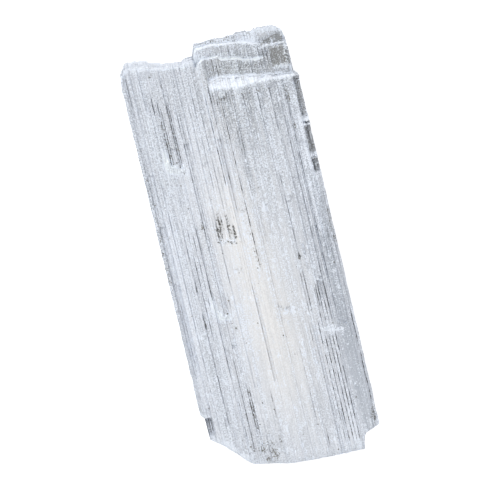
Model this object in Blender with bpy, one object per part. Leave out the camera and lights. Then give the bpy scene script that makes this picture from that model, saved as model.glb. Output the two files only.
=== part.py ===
"""A selenite crystal blade, lying on its flat back.

The blade is one solid: a bundle of parallel gypsum laths that grew side by side and are
fused. It has a left slab and a thicker right plate. Towards +Y the layers of the right
plate end one behind another, in a stair of broken ledges.

+Y runs along the laths to the stepped end, +X runs across the broad front face, and +Z
points out of it. The origin is on the resting face, under the middle of the blade.
Every size below is in millimetres.
"""

import random

import bmesh
import bpy
import numpy as np
from mathutils import Matrix, Vector

# Driving dimensions
BLADE_LENGTH = 121.2
BLADE_WIDTH = 48.4
PLATE_HEIGHT = 15.0
SLAB_HEIGHT = 13.6
METRES = 0.001

# Places worked out from them
SIDE = BLADE_WIDTH / 2
END = BLADE_LENGTH / 2

# The two broken ends and the lines where layers stop, as (across, along) points.
# SLAB_EDGE is where the left slab gives way to the layers behind it, and PLATE_EDGE is
# the seam between the slab and the right plate.
SLAB_EDGE = -3.4
PLATE_EDGE = -1.0
BOTTOM_END = [
    (-SIDE, -40.7), (-23.3, -41.9), (-23.1, -47.7), (-19.4, -50.1), (-13.7, -56.3),
    (-12.3, -57.5), (-8.1, -58.2), (-2.1, -59.7), (10.9, -60.4), (18.4, -END),
    (18.9, -58.4), (19.5, -56.3), (SIDE, -54.6),
]
LEDGE_FRONT = [
    (-SIDE, 42.5), (SLAB_EDGE, 46.5), (PLATE_EDGE, 47.8), (4.0, 47.4), (7.3, 46.7),
    (18.4, 46.5), (SIDE, 46.0),
]
LEDGE_BACK = [
    (-SIDE, 44.5), (SLAB_EDGE, 48.2), (PLATE_EDGE, 49.7), (2.1, 50.5), (9.6, 49.1),
    (18.4, 47.6), (SIDE, 46.5),
]
CRACK_FRONT = [
    (-SIDE, 47.5), (-4.4, 51.5), (SLAB_EDGE, 54.6), (PLATE_EDGE, 55.8), (4.0, 54.8),
    (10.1, 53.0), (15.3, 52.6), (SIDE, 50.6),
]
LIP_FRONT = [
    (-SIDE, 50.5), (-4.4, 53.2), (SLAB_EDGE, 55.4), (-2.9, 57.4), (-2.1, 58.9),
    (1.5, 59.0), (9.6, 58.0), (14.5, 57.2), (18.4, 55.6), (SIDE, 53.4),
]
TOP_END = [
    (-SIDE, 55.7), (-22.6, 58.2), (-20.9, 58.5), (-16.5, 57.6), (-11.5, 56.4),
    (-6.6, 55.5), (SLAB_EDGE, 56.2), (-2.9, 58.3), (-2.1, 59.8), (1.5, 60.2),
    (12.3, 60.2), (17.3, END), (21.7, 59.9), (22.6, 58.5), (SIDE, 55.3),
]
CRACK_RUN = 0.35
LIP_RUN = 0.4

# Front height of each layer, front to back, over the slab and over the right plate. The
# slab falls away towards its outer side.
SLAB_LAYERS = (SLAB_HEIGHT, SLAB_HEIGHT, 10.2, 7.6)
PLATE_LAYERS = (PLATE_HEIGHT - 0.3, 12.2, 10.2, 7.6)
SLAB_FALL = 0.9

# Seams between laths, across the blade. The laths on the two sides of a seam stand at
# their own heights, SEAM_GAP away from it.
SEAMS = [
    -23.3, -23.1, -21.4, -19.4, -17.0, -15.4, -13.7, -12.3, -10.9, -9.6, -7.9, -5.5,
    SLAB_EDGE, -2.9, -2.1, PLATE_EDGE, 1.7, 4.3, 7.1, 9.3, 12.8, 14.9, 16.2, 17.7,
    18.4, 18.9, 19.5, 21.7, 22.9, 23.2,
]
SEAM_GAP = 0.14
LATH_LEVEL = 0.22
LATH_TILT = 0.1
LATH_END_SHIFT = 0.28

# Open grooves along some of the seams: along from and to, and depth
GROOVES = {
    -17.0: (-30.4, 2.4, 0.8),
    -13.7: (-27.0, 2.4, 0.6),
    -10.9: (12.4, 43.4, 0.9),
    -9.6: (-50.9, -30.2, 0.7),
    -2.1: (-36.0, -3.8, 0.7),
    PLATE_EDGE: (-58.0, 46.0, 1.0),
    1.7: (-4.6, 41.4, 0.5),
    4.3: (-18.1, 38.1, 0.6),
    7.1: (-51.6, -44.6, 0.5),
    12.8: (-19.5, -5.7, 0.8),
    14.9: (-58.0, -25.4, 0.9),
    16.2: (-58.0, -25.4, 0.8),
    17.7: (-58.0, 35.3, 0.9),
    21.7: (-52.0, 20.0, 0.5),
}

# Places along the straight middle of the blade where flakes and chips stop. Each is a
# pair of stations STEP_RUN apart, so that its rim is sharp.
BODY_END = (-39.0, 38.5)
STEPS = [-35.6, -29.5, -23.6, -16.0, -10.2, -3.0, 4.5, 13.4, 18.8, 28.0, 34.0]
STEP_RUN = 0.8
BOTTOM_SHARES = (0.0, 0.09, 0.3, 0.55, 0.8)
END_BEVEL = 0.9
FLAKES = 26
FLAKE_DEPTH = (0.15, 0.5)

# Chips and pits broken out of the front: across from and to, along from and to, depth
CHIPS = {
    "long gouge in the slab": (-17.0, -12.3, 28.0, 52.5, 1.0),
    "hatched pit in the middle": (-7.9, SLAB_EDGE, 4.5, 13.4, 1.1),
    "scar on the slab": (-13.7, -10.9, -16.0, -10.2, 0.7),
    "lens in the right plate": (14.9, 17.7, -23.6, -10.2, 0.8),
    "notch in the lower left corner": (-SIDE - 1, -21.4, -48.5, -42.6, 5.2),
    "clear block behind the ledge": (17.7, 22.9, 47.5, 54.0, 3.0),
    "side lath below the ledge": (22.9, SIDE + 1, 18.8, 46.2, 4.6),
}

# Rows from back to front on the two sides and the ends: share of the height, and how
# far the left and the right sides are worn back there
ROWS = [
    (0.0, 0.9, 0.7), (0.16, 0.1, 0.0), (0.38, 0.45, 0.3), (0.6, 0.0, 0.1),
    (0.8, 0.6, 0.35), (1.0, 1.5, 0.9),
]
WEAR_REACH = 4.0
SIDE_FLAKE = 0.45
SHOULDER_FROM = 46.2
SHOULDER = 1.1

# The back is a flat cleavage face that turns up at its rim. A few seams are open there,
# and sheets have come off it near two corners: across and along as for the chips.
BACK_FLAT = 19.0
BACK_LIFT = 1.3
BACK_END = 4.0
BACK_SEAMS = {-17.0: 0.5, -10.9: 0.4, -2.1: 0.6, 4.3: 0.4, 12.8: 0.3}
BACK_SHEETS = {
    "sheet gone from the right of the back": (12.8, SIDE + 1, -29.5, END + 1, 0.7),
    "sheet gone from the lower left of the back": (-SIDE - 1, -15.4, -END - 1, -16.0, 0.5),
    "flake gone from the middle of the back": (4.3, 7.1, -3.0, 28.0, 0.35),
}
END_RELIEF = 0.7
SAME_PLANE = 0.004

ICE_WHITE = (0.66, 0.69, 0.74, 1.0)


def line_at(line, across):
    """The place along the blade of a line of (across, along) points."""
    points = np.array(line)
    return float(np.interp(across, points[:, 0], points[:, 1]))


def body_stations():
    """Stations of the straight middle, a pair at each step."""
    pairs = [step + half for step in STEPS for half in (-STEP_RUN / 2, STEP_RUN / 2)]
    return [BODY_END[0]] + pairs + [BODY_END[1]]


def columns():
    """(across, seam, lath) of every column, with both sides of each seam.

    The lath is its number from the left, and a groove's own column has a lath of None.
    """
    found = [(-SIDE, -SIDE, 0)]
    bounds = [-SIDE] + SEAMS + [SIDE]
    for lath, seam in enumerate(SEAMS):
        narrowest = min(seam - bounds[lath], bounds[lath + 2] - seam)
        gap = min(SEAM_GAP, narrowest / 4)
        found.append((seam - gap, seam, lath))
        if seam in GROOVES:
            found.append((seam, seam, None))
        found.append((seam + gap, seam, lath + 1))
    return found + [(SIDE, SIDE, len(SEAMS))]


def grown_laths(rng):
    """Middle, level, tilt and end of each lath, and the flakes that it has lost."""
    bounds = [-SIDE] + SEAMS + [SIDE]
    laths = []
    for left, right in zip(bounds, bounds[1:]):
        laths.append({
            "middle": (left + right) / 2,
            "level": rng.uniform(-LATH_LEVEL, LATH_LEVEL),
            "tilt": rng.uniform(-LATH_TILT, LATH_TILT),
            "end": rng.uniform(-LATH_END_SHIFT, LATH_END_SHIFT),
            "flakes": [],
        })
    for _ in range(FLAKES):
        low, high = sorted(rng.sample(STEPS, 2))
        rng.choice(laths)["flakes"].append((low, high, rng.uniform(*FLAKE_DEPTH)))
    return laths


def stations(across, shift):
    """(along, layer) of every station of one column, from the bottom end to the top."""
    bottom = line_at(BOTTOM_END, across)
    ledge = line_at(LEDGE_FRONT, across) + shift
    behind_ledge = line_at(LEDGE_BACK, across) + shift / 2
    crack = line_at(CRACK_FRONT, across) + shift / 2
    lip = line_at(LIP_FRONT, across)
    top = line_at(TOP_END, across)
    places = [(bottom + (BODY_END[0] - bottom) * share, 0) for share in BOTTOM_SHARES]
    places += [(along, 0) for along in body_stations()]
    places += [(ledge, 0), (behind_ledge, 1), ((behind_ledge + crack) / 2, 1)]
    places += [(crack, 1), (crack + CRACK_RUN, 2), (lip, 2)]
    places += [(min(lip + LIP_RUN, (lip + top) / 2), 3), (top, 3)]
    return places


def front_height(across, along, layer):
    """Height of the front above the resting face, before laths, chips and grooves."""
    bevel = END_BEVEL if along <= line_at(BOTTOM_END, across) else 0.0
    if across > PLATE_EDGE:
        return PLATE_LAYERS[layer] - bevel
    share = (PLATE_EDGE - across) / (SIDE + PLATE_EDGE)
    return SLAB_LAYERS[layer if across > SLAB_EDGE else 0] - SLAB_FALL * share - bevel


def lath_relief(lath, across, along):
    """How far a lath stands above or below the front, where it has not lost a flake."""
    relief = lath["level"] + lath["tilt"] * (across - lath["middle"])
    for low, high, depth in lath["flakes"]:
        if low < along < high:
            relief -= depth
    return relief


def groove_relief(seam, along):
    low, high, depth = GROOVES[seam]
    return -depth if low < along < high else 0.0


def chip_depth(chips, across, along):
    for left, right, low, high, depth in chips.values():
        if left < across < right and low < along < high:
            return depth
    return 0.0


def back_height(across, along):
    """Height of the back face: flat in the middle, turned up towards the rim."""
    side = max(0.0, (abs(across) - BACK_FLAT) / (SIDE - BACK_FLAT))
    low, high = line_at(BOTTOM_END, across), line_at(TOP_END, across)
    end = max(0.0, 1 - min(along - low, high - along) / BACK_END)
    return BACK_LIFT * max(side, end) + chip_depth(BACK_SHEETS, across, along)


def side_flakes(rng):
    """How far each row of each side is flaked back, from one step to the next."""
    return {
        (side, row, stretch): rng.uniform(0, SIDE_FLAKE)
        for side in ("left", "right")
        for row in range(len(ROWS))
        for stretch in range(len(STEPS) + 1)
    }


def worn_across(across, along, row, flakes):
    """Where a column stands on one row, once the two sides are worn back."""
    stretch = sum(along > step for step in STEPS)
    left = ROWS[row][1] + flakes["left", row, stretch]
    right = ROWS[row][2] + flakes["right", row, stretch]
    if along > SHOULDER_FROM:
        right += SHOULDER
    near_left = max(0.0, 1 - (SIDE + across) / WEAR_REACH)
    near_right = max(0.0, 1 - (SIDE - across) / WEAR_REACH)
    return across + left * near_left - right * near_right


def blade_points():
    """The point of each (column, station, row) on the skin, and the last of each."""
    rng = random.Random(11)
    laths = grown_laths(rng)
    flakes = side_flakes(rng)
    all_columns = columns()
    last_column, last_row = len(all_columns) - 1, len(ROWS) - 1
    points = {}
    for column, (across, seam, number) in enumerate(all_columns):
        in_groove = number is None
        places = stations(across, 0.0 if in_groove else laths[number]["end"])
        last_station = len(places) - 1
        for station, (along, layer) in enumerate(places):
            front = front_height(across, along, layer) - chip_depth(CHIPS, across, along)
            back = back_height(across, along)
            if in_groove:
                front += groove_relief(seam, along)
                back += BACK_SEAMS.get(seam, 0.0)
            else:
                front += lath_relief(laths[number], across, along)
            at_end, at_side = station in (0, last_station), column in (0, last_column)
            for row in range(last_row + 1) if at_end or at_side else (0, last_row):
                inner = at_end and 0 < row < last_row and not at_side
                inwards = rng.uniform(0, END_RELIEF) if inner else 0.0
                points[column, station, row] = Vector((
                    worn_across(across, along, row, flakes),
                    along + (inwards if station == 0 else -inwards),
                    back + (front - back) * ROWS[row][0],
                )) * METRES
    return points, last_column, last_station, last_row


def skin(points, last_column, last_station, last_row):
    """A closed mesh through the points: two broad faces, two sides and two ends."""
    mesh = bmesh.new()
    verts = {place: mesh.verts.new(point) for place, point in points.items()}

    def cover(place, first, second, outwards):
        for a in range(first):
            for b in range(second):
                ring = [place(a, b), place(a + 1, b), place(a + 1, b + 1), place(a, b + 1)]
                corners = [verts[key] for key in ring]
                mesh.faces.new(corners if outwards else corners[::-1])

    cover(lambda a, b: (a, b, last_row), last_column, last_station, True)
    cover(lambda a, b: (a, b, 0), last_column, last_station, False)
    cover(lambda a, b: (0, a, b), last_station, last_row, False)
    cover(lambda a, b: (last_column, a, b), last_station, last_row, True)
    cover(lambda a, b: (a, 0, b), last_column, last_row, True)
    cover(lambda a, b: (a, last_station, b), last_column, last_row, False)
    return mesh


def selenite_white():
    material = bpy.data.materials.new("selenite_white")
    material.use_nodes = True
    shader = material.node_tree.nodes["Principled BSDF"]
    shader.inputs["Base Color"].default_value = ICE_WHITE
    shader.inputs["Roughness"].default_value = 0.38
    shader.inputs["Metallic"].default_value = 0.0
    shader.inputs["IOR"].default_value = 1.52
    return material


def selenite_blade():
    """The whole blade, one closed solid, centred over its resting face."""
    solid = skin(*blade_points())
    bmesh.ops.dissolve_limit(
        solid, angle_limit=SAME_PLANE, verts=solid.verts, edges=solid.edges
    )
    bmesh.ops.recalc_face_normals(solid, faces=solid.faces)
    low = Vector([min(v.co[i] for v in solid.verts) for i in range(3)])
    high = Vector([max(v.co[i] for v in solid.verts) for i in range(3)])
    under = Vector(((low.x + high.x) / 2, (low.y + high.y) / 2, low.z))
    bmesh.ops.transform(solid, matrix=Matrix.Translation(-under), verts=solid.verts)
    mesh = bpy.data.meshes.new("selenite_blade")
    solid.to_mesh(mesh)
    solid.free()
    mesh.materials.append(selenite_white())
    blade = bpy.data.objects.new("selenite_blade", mesh)
    bpy.context.scene.collection.objects.link(blade)
    return blade


def main():
    for old in list(bpy.data.objects):
        bpy.data.objects.remove(old)
    selenite_blade()


main()
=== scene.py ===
import math
import random

import bpy
import numpy as np
from mathutils import Matrix, Vector
from mathutils.bvhtree import BVHTree


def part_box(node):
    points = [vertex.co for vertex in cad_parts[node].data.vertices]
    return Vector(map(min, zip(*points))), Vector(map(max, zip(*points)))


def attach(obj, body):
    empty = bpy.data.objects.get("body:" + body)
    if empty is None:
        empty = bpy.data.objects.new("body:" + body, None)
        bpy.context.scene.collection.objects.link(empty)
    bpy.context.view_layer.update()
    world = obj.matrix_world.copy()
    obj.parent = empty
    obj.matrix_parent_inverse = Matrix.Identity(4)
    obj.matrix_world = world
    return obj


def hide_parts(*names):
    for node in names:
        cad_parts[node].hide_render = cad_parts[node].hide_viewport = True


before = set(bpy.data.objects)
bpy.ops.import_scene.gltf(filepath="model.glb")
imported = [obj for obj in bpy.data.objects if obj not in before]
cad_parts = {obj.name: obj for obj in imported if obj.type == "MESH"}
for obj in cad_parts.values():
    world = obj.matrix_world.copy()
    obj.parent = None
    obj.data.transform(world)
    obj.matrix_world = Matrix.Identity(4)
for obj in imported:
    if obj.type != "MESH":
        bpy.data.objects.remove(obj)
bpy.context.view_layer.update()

# The blade
# A loose cleavage piece of selenite, lying on its back: gypsum laths that grew side by
# side along +Y and fused. A left slab and a thicker right plate meet at a seam, and the
# plate's layers end at +Y in a stair of broken ledges. Sizes here are in millimetres.
MM = 0.001
blade_low, blade_high = [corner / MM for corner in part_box("selenite_blade")]
SIDE = (blade_high.x - blade_low.x) / 2
END = (blade_high.y - blade_low.y) / 2
HEIGHT = blade_high.z - blade_low.z

# Where the two ends and the layers stop, as (across, along) points
SLAB_EDGE = -3.4
PLATE_EDGE = -1.0
BOTTOM_END = [
    (-SIDE, -40.7), (-23.3, -41.9), (-23.1, -48.1), (-19.7, -50.7), (-14.1, -56.7), (-12.7, -57.8),
    (-8.1, -58.5), (-2.1, -59.9), (10.9, -60.5), (18.4, -END), (18.9, -58.4), (19.5, -56.3),
    (SIDE, -54.6),
]
LEDGE_FRONT = [
    (-SIDE, 42.5), (SLAB_EDGE, 46.5), (PLATE_EDGE, 47.9), (4, 47.4), (7.3, 46.9), (15, 46.9),
    (18.4, 46.6), (SIDE, 46.1),
]
LEDGE_BACK = [
    (-SIDE, 44.5), (SLAB_EDGE, 48.2), (PLATE_EDGE, 50.1), (2.1, 50.8), (9.6, 49.4), (18.4, 47.8),
    (SIDE, 46.7),
]
CRACK_FRONT = [
    (-SIDE, 47.5), (-4.4, 51.5), (SLAB_EDGE, 54.4), (PLATE_EDGE, 56.2), (3.4, 55.9), (4.4, 54.9),
    (8.5, 54.3), (10.2, 53.4), (12, 53), (15.5, 52.8), (17.4, 52.8), (17.8, 55.2), (SIDE, 54.4),
]
LIP_FRONT = [
    (-SIDE, 50.5), (-4.4, 53.2), (SLAB_EDGE, 55.4), (-2.9, 57.4), (-2.1, 58.9), (1.5, 59.2),
    (9.6, 58.2), (14.5, 56.8), (17.6, 55.6), (SIDE, 54.9),
]
TOP_END = [
    (-SIDE, 55.7), (-22.6, 58.2), (-20.9, 58.5), (-16.5, 57.4), (-11.5, 56.2), (-6.6, 55.9),
    (SLAB_EDGE, 56.4), (-2.9, 58.3), (-2.1, 59.8), (1.5, 60.2), (12.3, 60.2), (17.3, END),
    (21.7, 59.6), (22.6, 58.2), (SIDE, 55.3),
]

# How far the crack and the lip run down, and where the plain middle starts and stops
CRACK_RUN = 0.14
LIP_RUN = 0.3
BODY_END = (-39.0, 38.5)

# Front height of each layer, and how far the slab falls towards its outer side
SLAB_HEIGHT = HEIGHT - 1.4
SLAB_LAYERS = (SLAB_HEIGHT, SLAB_HEIGHT, 10.2, 7.6)
PLATE_LAYERS = (HEIGHT - 0.3, 12.2, 10.2, 7.6)
SLAB_FALL = 0.9
SLAB_RISE = 1.0
RISES_FROM = 24.0
LEVEL_AT = 4.0
END_BEVEL = 0.9
END_BEVEL_RUN = 1.4

# The laths: seams across the blade, and the steps along it where a lath's flakes stop
SEAMS = [
    -23.3, -23.1, -21.4, -19.8, -17, -15.7, -13.4, -12.3, -11.1, -9.8, -7.6, -5.9, SLAB_EDGE, -2.4,
    -1.8, PLATE_EDGE, 1.6, 4.1, 7.1, 9.1, 12.8, 14.8, 15.9, 17.7, 18.4, 18.9, 19.4, 22, 22.3, 23.3,
]
STEPS = [-35.6, -29.5, -23.6, -16.0, -10.2, -3.0, 4.5, 13.4, 18.8, 28.0, 34.0]
LATH_LEVEL = 0.22
LATH_TILT = 0.1
LATH_END_SHIFT = 0.28
FLAKES = 26
FLAKE_DEPTH = (0.15, 0.5)


def grown_laths(rng):
    """Middle, level, tilt and end of each lath, and the flakes that it has lost."""
    bounds = [-SIDE] + SEAMS + [SIDE]
    laths = []
    for left, right in zip(bounds, bounds[1:]):
        laths.append({
            "middle": (left + right) / 2,
            "level": rng.uniform(-LATH_LEVEL, LATH_LEVEL),
            "tilt": rng.uniform(-LATH_TILT, LATH_TILT),
            "end": rng.uniform(-LATH_END_SHIFT, LATH_END_SHIFT),
            "flakes": [],
        })
    for _ in range(FLAKES):
        low, high = sorted(rng.sample(STEPS, 2))
        rng.choice(laths)["flakes"].append((low, high, rng.uniform(*FLAKE_DEPTH)))
    return laths


laths = grown_laths(random.Random(11))

# Open grooves between fibres: across, along from and to, half width, depth, and darkness, the
# painted shade down in the groove
GROOVES = [
    (-22.6, 44, 57, 0.12, 0.4, 0.6), (-22.3, -28, -8, 0.1, 0.3, 0.5),
    (-22.9, -46.6, -41.9, 0.08, 0.3, 0.9), (-22.3, -46.8, -41.7, 0.08, 0.3, 0.9),
    (-21.7, -46.4, -41.8, 0.08, 0.3, 0.9), (-21.2, -39.9, -38.2, 0.1, 0.3, 0.7),
    (-19.8, -36, 28, 0.1, 0.3, 0.35), (-17.9, 36, 50, 0.08, 0.3, 0.4),
    (-17, -9.2, 12, 0.1, 0.4, 0.5), (-17, -8.4, -2.8, 0.2, 0.6, 0.9),
    (-17, -17.8, -12.6, 0.26, 0.7, 1), (-17, -47, -17.8, 0.11, 0.4, 0.6),
    (-17, 43.5, 50, 0.15, 0.5, 0.7), (-15.7, -21, 11.5, 0.12, 0.4, 0.55),
    (-15.7, -7, 2, 0.2, 0.5, 0.75), (-15.7, 28.6, 48.5, 0.2, 0.6, 0.6),
    (-15.1, 28.6, 46, 0.12, 0.4, 0.5), (-14.5, -12, 10, 0.12, 0.4, 0.5),
    (-13.4, -9.4, -1.6, 0.22, 0.6, 0.95), (-13.4, -33, -15, 0.12, 0.4, 0.6),
    (-13.4, -1.6, 12, 0.1, 0.4, 0.45), (-13.4, 27, 50.6, 0.2, 0.6, 0.6),
    (-12.9, 26.6, 48, 0.12, 0.4, 0.5), (-12.9, -52, -37.5, 0.1, 0.4, 0.55),
    (-11.1, 3.4, 30, 0.09, 0.3, 0.5), (-11.1, 30, 44, 0.1, 0.4, 0.5),
    (-10.4, 4, 44, 0.08, 0.3, 0.35), (-11.6, -54, -26, 0.11, 0.4, 0.6),
    (-9.8, -50.5, -34, 0.14, 0.5, 0.75), (-9.2, -50.5, -36, 0.14, 0.5, 0.85),
    (-9, -13, -8, 0.1, 0.3, 0.5), (-7.6, -7.5, 5, 0.1, 0.3, 0.5), (-7.4, 28, 46, 0.08, 0.3, 0.35),
    (-5.9, 20, 50, 0.08, 0.3, 0.3), (-4.5, 14, 46, 0.09, 0.3, 0.35),
    (-7.6, 5.8, 11.8, 0.3, 0.4, 0.8), (-6.7, 6, 13.8, 0.24, 0.5, 1.1),
    (-5.9, 6.4, 13.4, 0.14, 0.3, 0.8), (-4.5, 5.2, 14, 0.2, 0.4, 1),
    (-3.2, 5.6, 9.9, 0.24, 0.5, 1.1), (-2.4, 10.8, 14.4, 0.1, 0.3, 0.5),
    (-2.4, 20, 47, 0.13, 0.5, 0.7), (PLATE_EDGE, 18.8, 26.4, 0.2, 0.9, 1.1),
    (PLATE_EDGE, 43.3, 49.3, 0.14, 0.7, 0.8), (PLATE_EDGE, 12, 46, 0.08, 0.4, 0.35),
    (-1.8, -36, -4, 0.06, 0.2, 0.38), (-3.6, -46.5, -37, 0.1, 0.3, 0.75),
    (-0.3, 43.2, 46.8, 0.07, 0.3, 0.85), (0.5, 42.4, 46.6, 0.07, 0.3, 0.75),
    (2.6, 43.6, 46.6, 0.07, 0.3, 0.8), (3.4, 43, 46.4, 0.07, 0.3, 0.75),
    (1.6, -3.9, 16.3, 0.12, 0.5, 1.05), (1.6, 16.9, 43.3, 0.12, 0.5, 0.9),
    (4.1, -22, 39, 0.16, 0.2, 0.3), (4.1, 27.5, 37.8, 0.26, 0.3, 0.45),
    (4.8, 27.5, 37.8, 0.2, 0.2, 0.4), (7.1, -50, -28, 0.07, 0.25, 0.5),
    (9.1, -58, -51.5, 0.12, 0.4, 0.8), (11.2, -31, -21.5, 0.08, 0.3, 0.5),
    (7.9, 34, 46, 0.1, 0.3, 0.45), (11.9, 34, 46.2, 0.1, 0.3, 0.55), (12, -19, -6.2, 0.1, 0.4, 0.8),
    (12.8, -19, -6.2, 0.1, 0.4, 0.8), (12.8, -4.2, -1.9, 0.24, 0.6, 1.3),
    (12.8, 0, 22, 0.08, 0.3, 0.4), (13.7, -58, -21, 0.12, 0.4, 0.8),
    (14.8, -58, -25.8, 0.14, 0.5, 1.15), (15.9, -58, -25.8, 0.12, 0.45, 1),
    (16.8, -58, -25.8, 0.11, 0.4, 0.95), (17.7, -58, -25.8, 0.13, 0.5, 1.1),
    (14.8, -24, -19.4, 0.11, 0.4, 0.8), (15.3, -18.7, -12.4, 0.16, 0.45, 1.1),
    (15.9, -23.4, -11.6, 0.1, 0.35, 0.8), (16.8, -23.4, -11.2, 0.1, 0.35, 0.85),
    (17.7, -23.4, -11, 0.14, 0.4, 1), (15.3, 28, 46, 0.1, 0.35, 0.5),
    (17.7, -11, 46, 0.12, 0.3, 0.5), (19.4, -20, 42, 0.1, 0.35, 0.5), (22, -7, 5, 0.08, 0.3, 0.6),
    (23.3, -54, -20, 0.16, 0.4, 0.85), (1.6, 50.5, 57.5, 0.1, 0.4, 0.65),
    (2.6, 50.5, 54, 0.1, 0.4, 0.65), (6.8, 50.5, 58, 0.12, 0.4, 0.75),
    (14.8, 50, 57, 0.1, 0.35, 0.65), (15.9, 50.2, 57.5, 0.14, 0.45, 0.85),
    (16.8, 50, 56, 0.14, 0.45, 0.85),
]

# How a groove opens along itself, how its darkness varies, what share of a fibre it may
# take and how bare of frost it is. A waver is how often in millimetres a value turns
# along the blade, and by how much.
GROOVE_TAPER = 1.6
GROOVE_OPEN = 0.7
GROOVE_WAVER = (0.9, 0.6)
GROOVE_SHADE = (0.8, 1)
GROOVE_ROOM = 0.42
GROOVE_BARE = 0.8

# Every other seam is a hairline with painted shade down in it, shallower and fainter where the
# crystal is calm
HAIRLINE = 0.08
HAIR_DEPTH = (0.02, 0.09)
HAIR_WAVER = (5, 0.02)
HAIR_DARK = 0.3
HAIR_DARK_WAVER = (5, 0.15)
HAIR_DEPTH_CALMED = 0.7
HAIR_DARK_CALMED = 0.8

# Chips broken out of the front: their lower and upper lines, depth, over what length
# each end runs out, how clear the fresh face is, how white its lower rim, how ragged
CHIPS = {
    "long gouge in the slab": {
        "low": [(-17.2, 33.3), (-16, 28.7), (-13.5, 27.6), (-12.2, 30)],
        "high": [(-17.2, 46), (-12.2, 52.5)],
        "depth": 0.5, "runs": (0.7, 16), "clear": 0.1, "white": 1.2, "ragged": 0.4,
    },
    "hatched pit in the middle": {
        "low": [(-8.1, 6.2), (-6.5, 5.6), (-5.2, 6.4), (-3.2, 4.4)],
        "high": [(-8.1, 13.4), (-6.5, 14.6), (-3.2, 10.5)],
        "depth": 0.3, "runs": (0.3, 2.2), "clear": 0, "white": 0.5, "ragged": 0.4,
    },
    "scar on the slab": {
        "low": [(-13.7, -8), (-12.4, -13.8), (-11.4, -15.6), (-9.7, -14.2)],
        "high": [(-13.7, -6), (-9.7, -8)],
        "depth": 0.45, "runs": (0.6, 4.5), "clear": 0.1, "white": 1.1, "ragged": 0.4,
    },
    "lens in the right plate": {
        "low": [(14.8, -24), (18, -22)],
        "high": [(14.8, -13.6), (15.7, -11.3), (16.6, -10.9), (18, -12.2)],
        "depth": 0.45, "runs": (6, 0.1), "clear": 0.12, "white": 0, "ragged": 0.2,
    },
    "notch in the lower left corner": {
        "low": [(-SIDE - 1, -46.8), (-21.3, -46.8)],
        "high": [(-SIDE - 1, -41.4), (-21.3, -41.8)],
        "depth": 1.4, "runs": (0.1, 0.1), "clear": 0.45, "white": 0.3, "ragged": 0.15,
    },
    "clear block behind the ledge": {
        "low": [(17.7, 49.8), (22.6, 49.6)],
        "high": [(17.7, 56), (22.6, 55.8)],
        "depth": 0.3, "runs": (0.1, 0.1), "clear": 0.95, "white": 0, "ragged": 0.15,
    },
    "arched lens in the upper right corner": {
        "low": [(15.8, 56.1), (22.6, 55.6)],
        "high": [(15.8, 56.3), (17.6, 57.1), (20.2, 58), (22, 57.6), (22.6, 56.9)],
        "depth": 0.35, "runs": (0.1, 0.1), "clear": 0.85, "white": 0, "ragged": 0.08,
    },
}

# The clear lath on the right side has lost its top in four lengths, from the ledge down:
# where each starts and ends, how clear it is, how white its lower rim, how ragged
SIDE_LATH = [
    (34, 46.2, 0.72, 0.8, 0.1), (32.7, 33.4, 0.72, 0, 0.05), (24, 32.2, 0.76, 0.5, 0.1),
    (18.8, 23.4, 0.7, 0.5, 0.3),
]
for low, high, clear, white, ragged in SIDE_LATH:
    CHIPS[f"side lath from {low} to {high}"] = {
        "low": [(22.2, low), (SIDE + 1, low)], "high": [(22.2, high), (SIDE + 1, high)],
        "depth": 3.6, "runs": (0.1, 0.1), "clear": clear, "white": white, "ragged": ragged,
    }

# A chip's depth by chance, the reach of its white rim, from what share of its depth it is
# clear and bare of frost, and how much frost a clear face takes away
CHIP_DEEPER = (0.7, 1.1)
CHIP_RIM = (0.6, 0.5)
CHIP_CLEAR_FROM = 0.15
CHIP_BARE_FROM = 0.3
CHIP_BARE = 0.7

# Fibres: about how wide they are, and how much they differ by chance
FIBRE_WIDTH = 0.62
FIBRE_JITTER = 0.28
FIBRE_SHIFT = 0.22
FIBRE_LEVEL = 0.04
FIBRE_TILT = 0.03
FIBRE_MILK = 0.05
FIBRE_WHITE = (-0.1, 0.22)
SHAPES = np.random.default_rng(29)

# Breaks: where a fibre steps up or down along itself, or has lost a length
FIBRE_BREAKS = 7
BREAKS_TO = 46
FIBRE_LOST = 0.08
BREAK_DEPTH = (0.1, 0.3)
BREAK_SLANT = 0.25
BREAK_WHITE = 0.35
BREAK_WHITE_REACH = 0.3
FLAKE_JITTER = 0.6
RIM = 0.05

# How much of the laths' relief shows, and how much less where the crystal is calm, then
# the long swells of the front (height, length, width) and its grain
LATH_RELIEF = 0.65
RELIEF_CALMED = 0.45
LEVEL_CALMED = 0.6
SWELLS = [(0.1, 9, 5), (0.06, 4.3, -3)]
GRAIN = 0.012
FROST_GRAIN = 0.04

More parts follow.
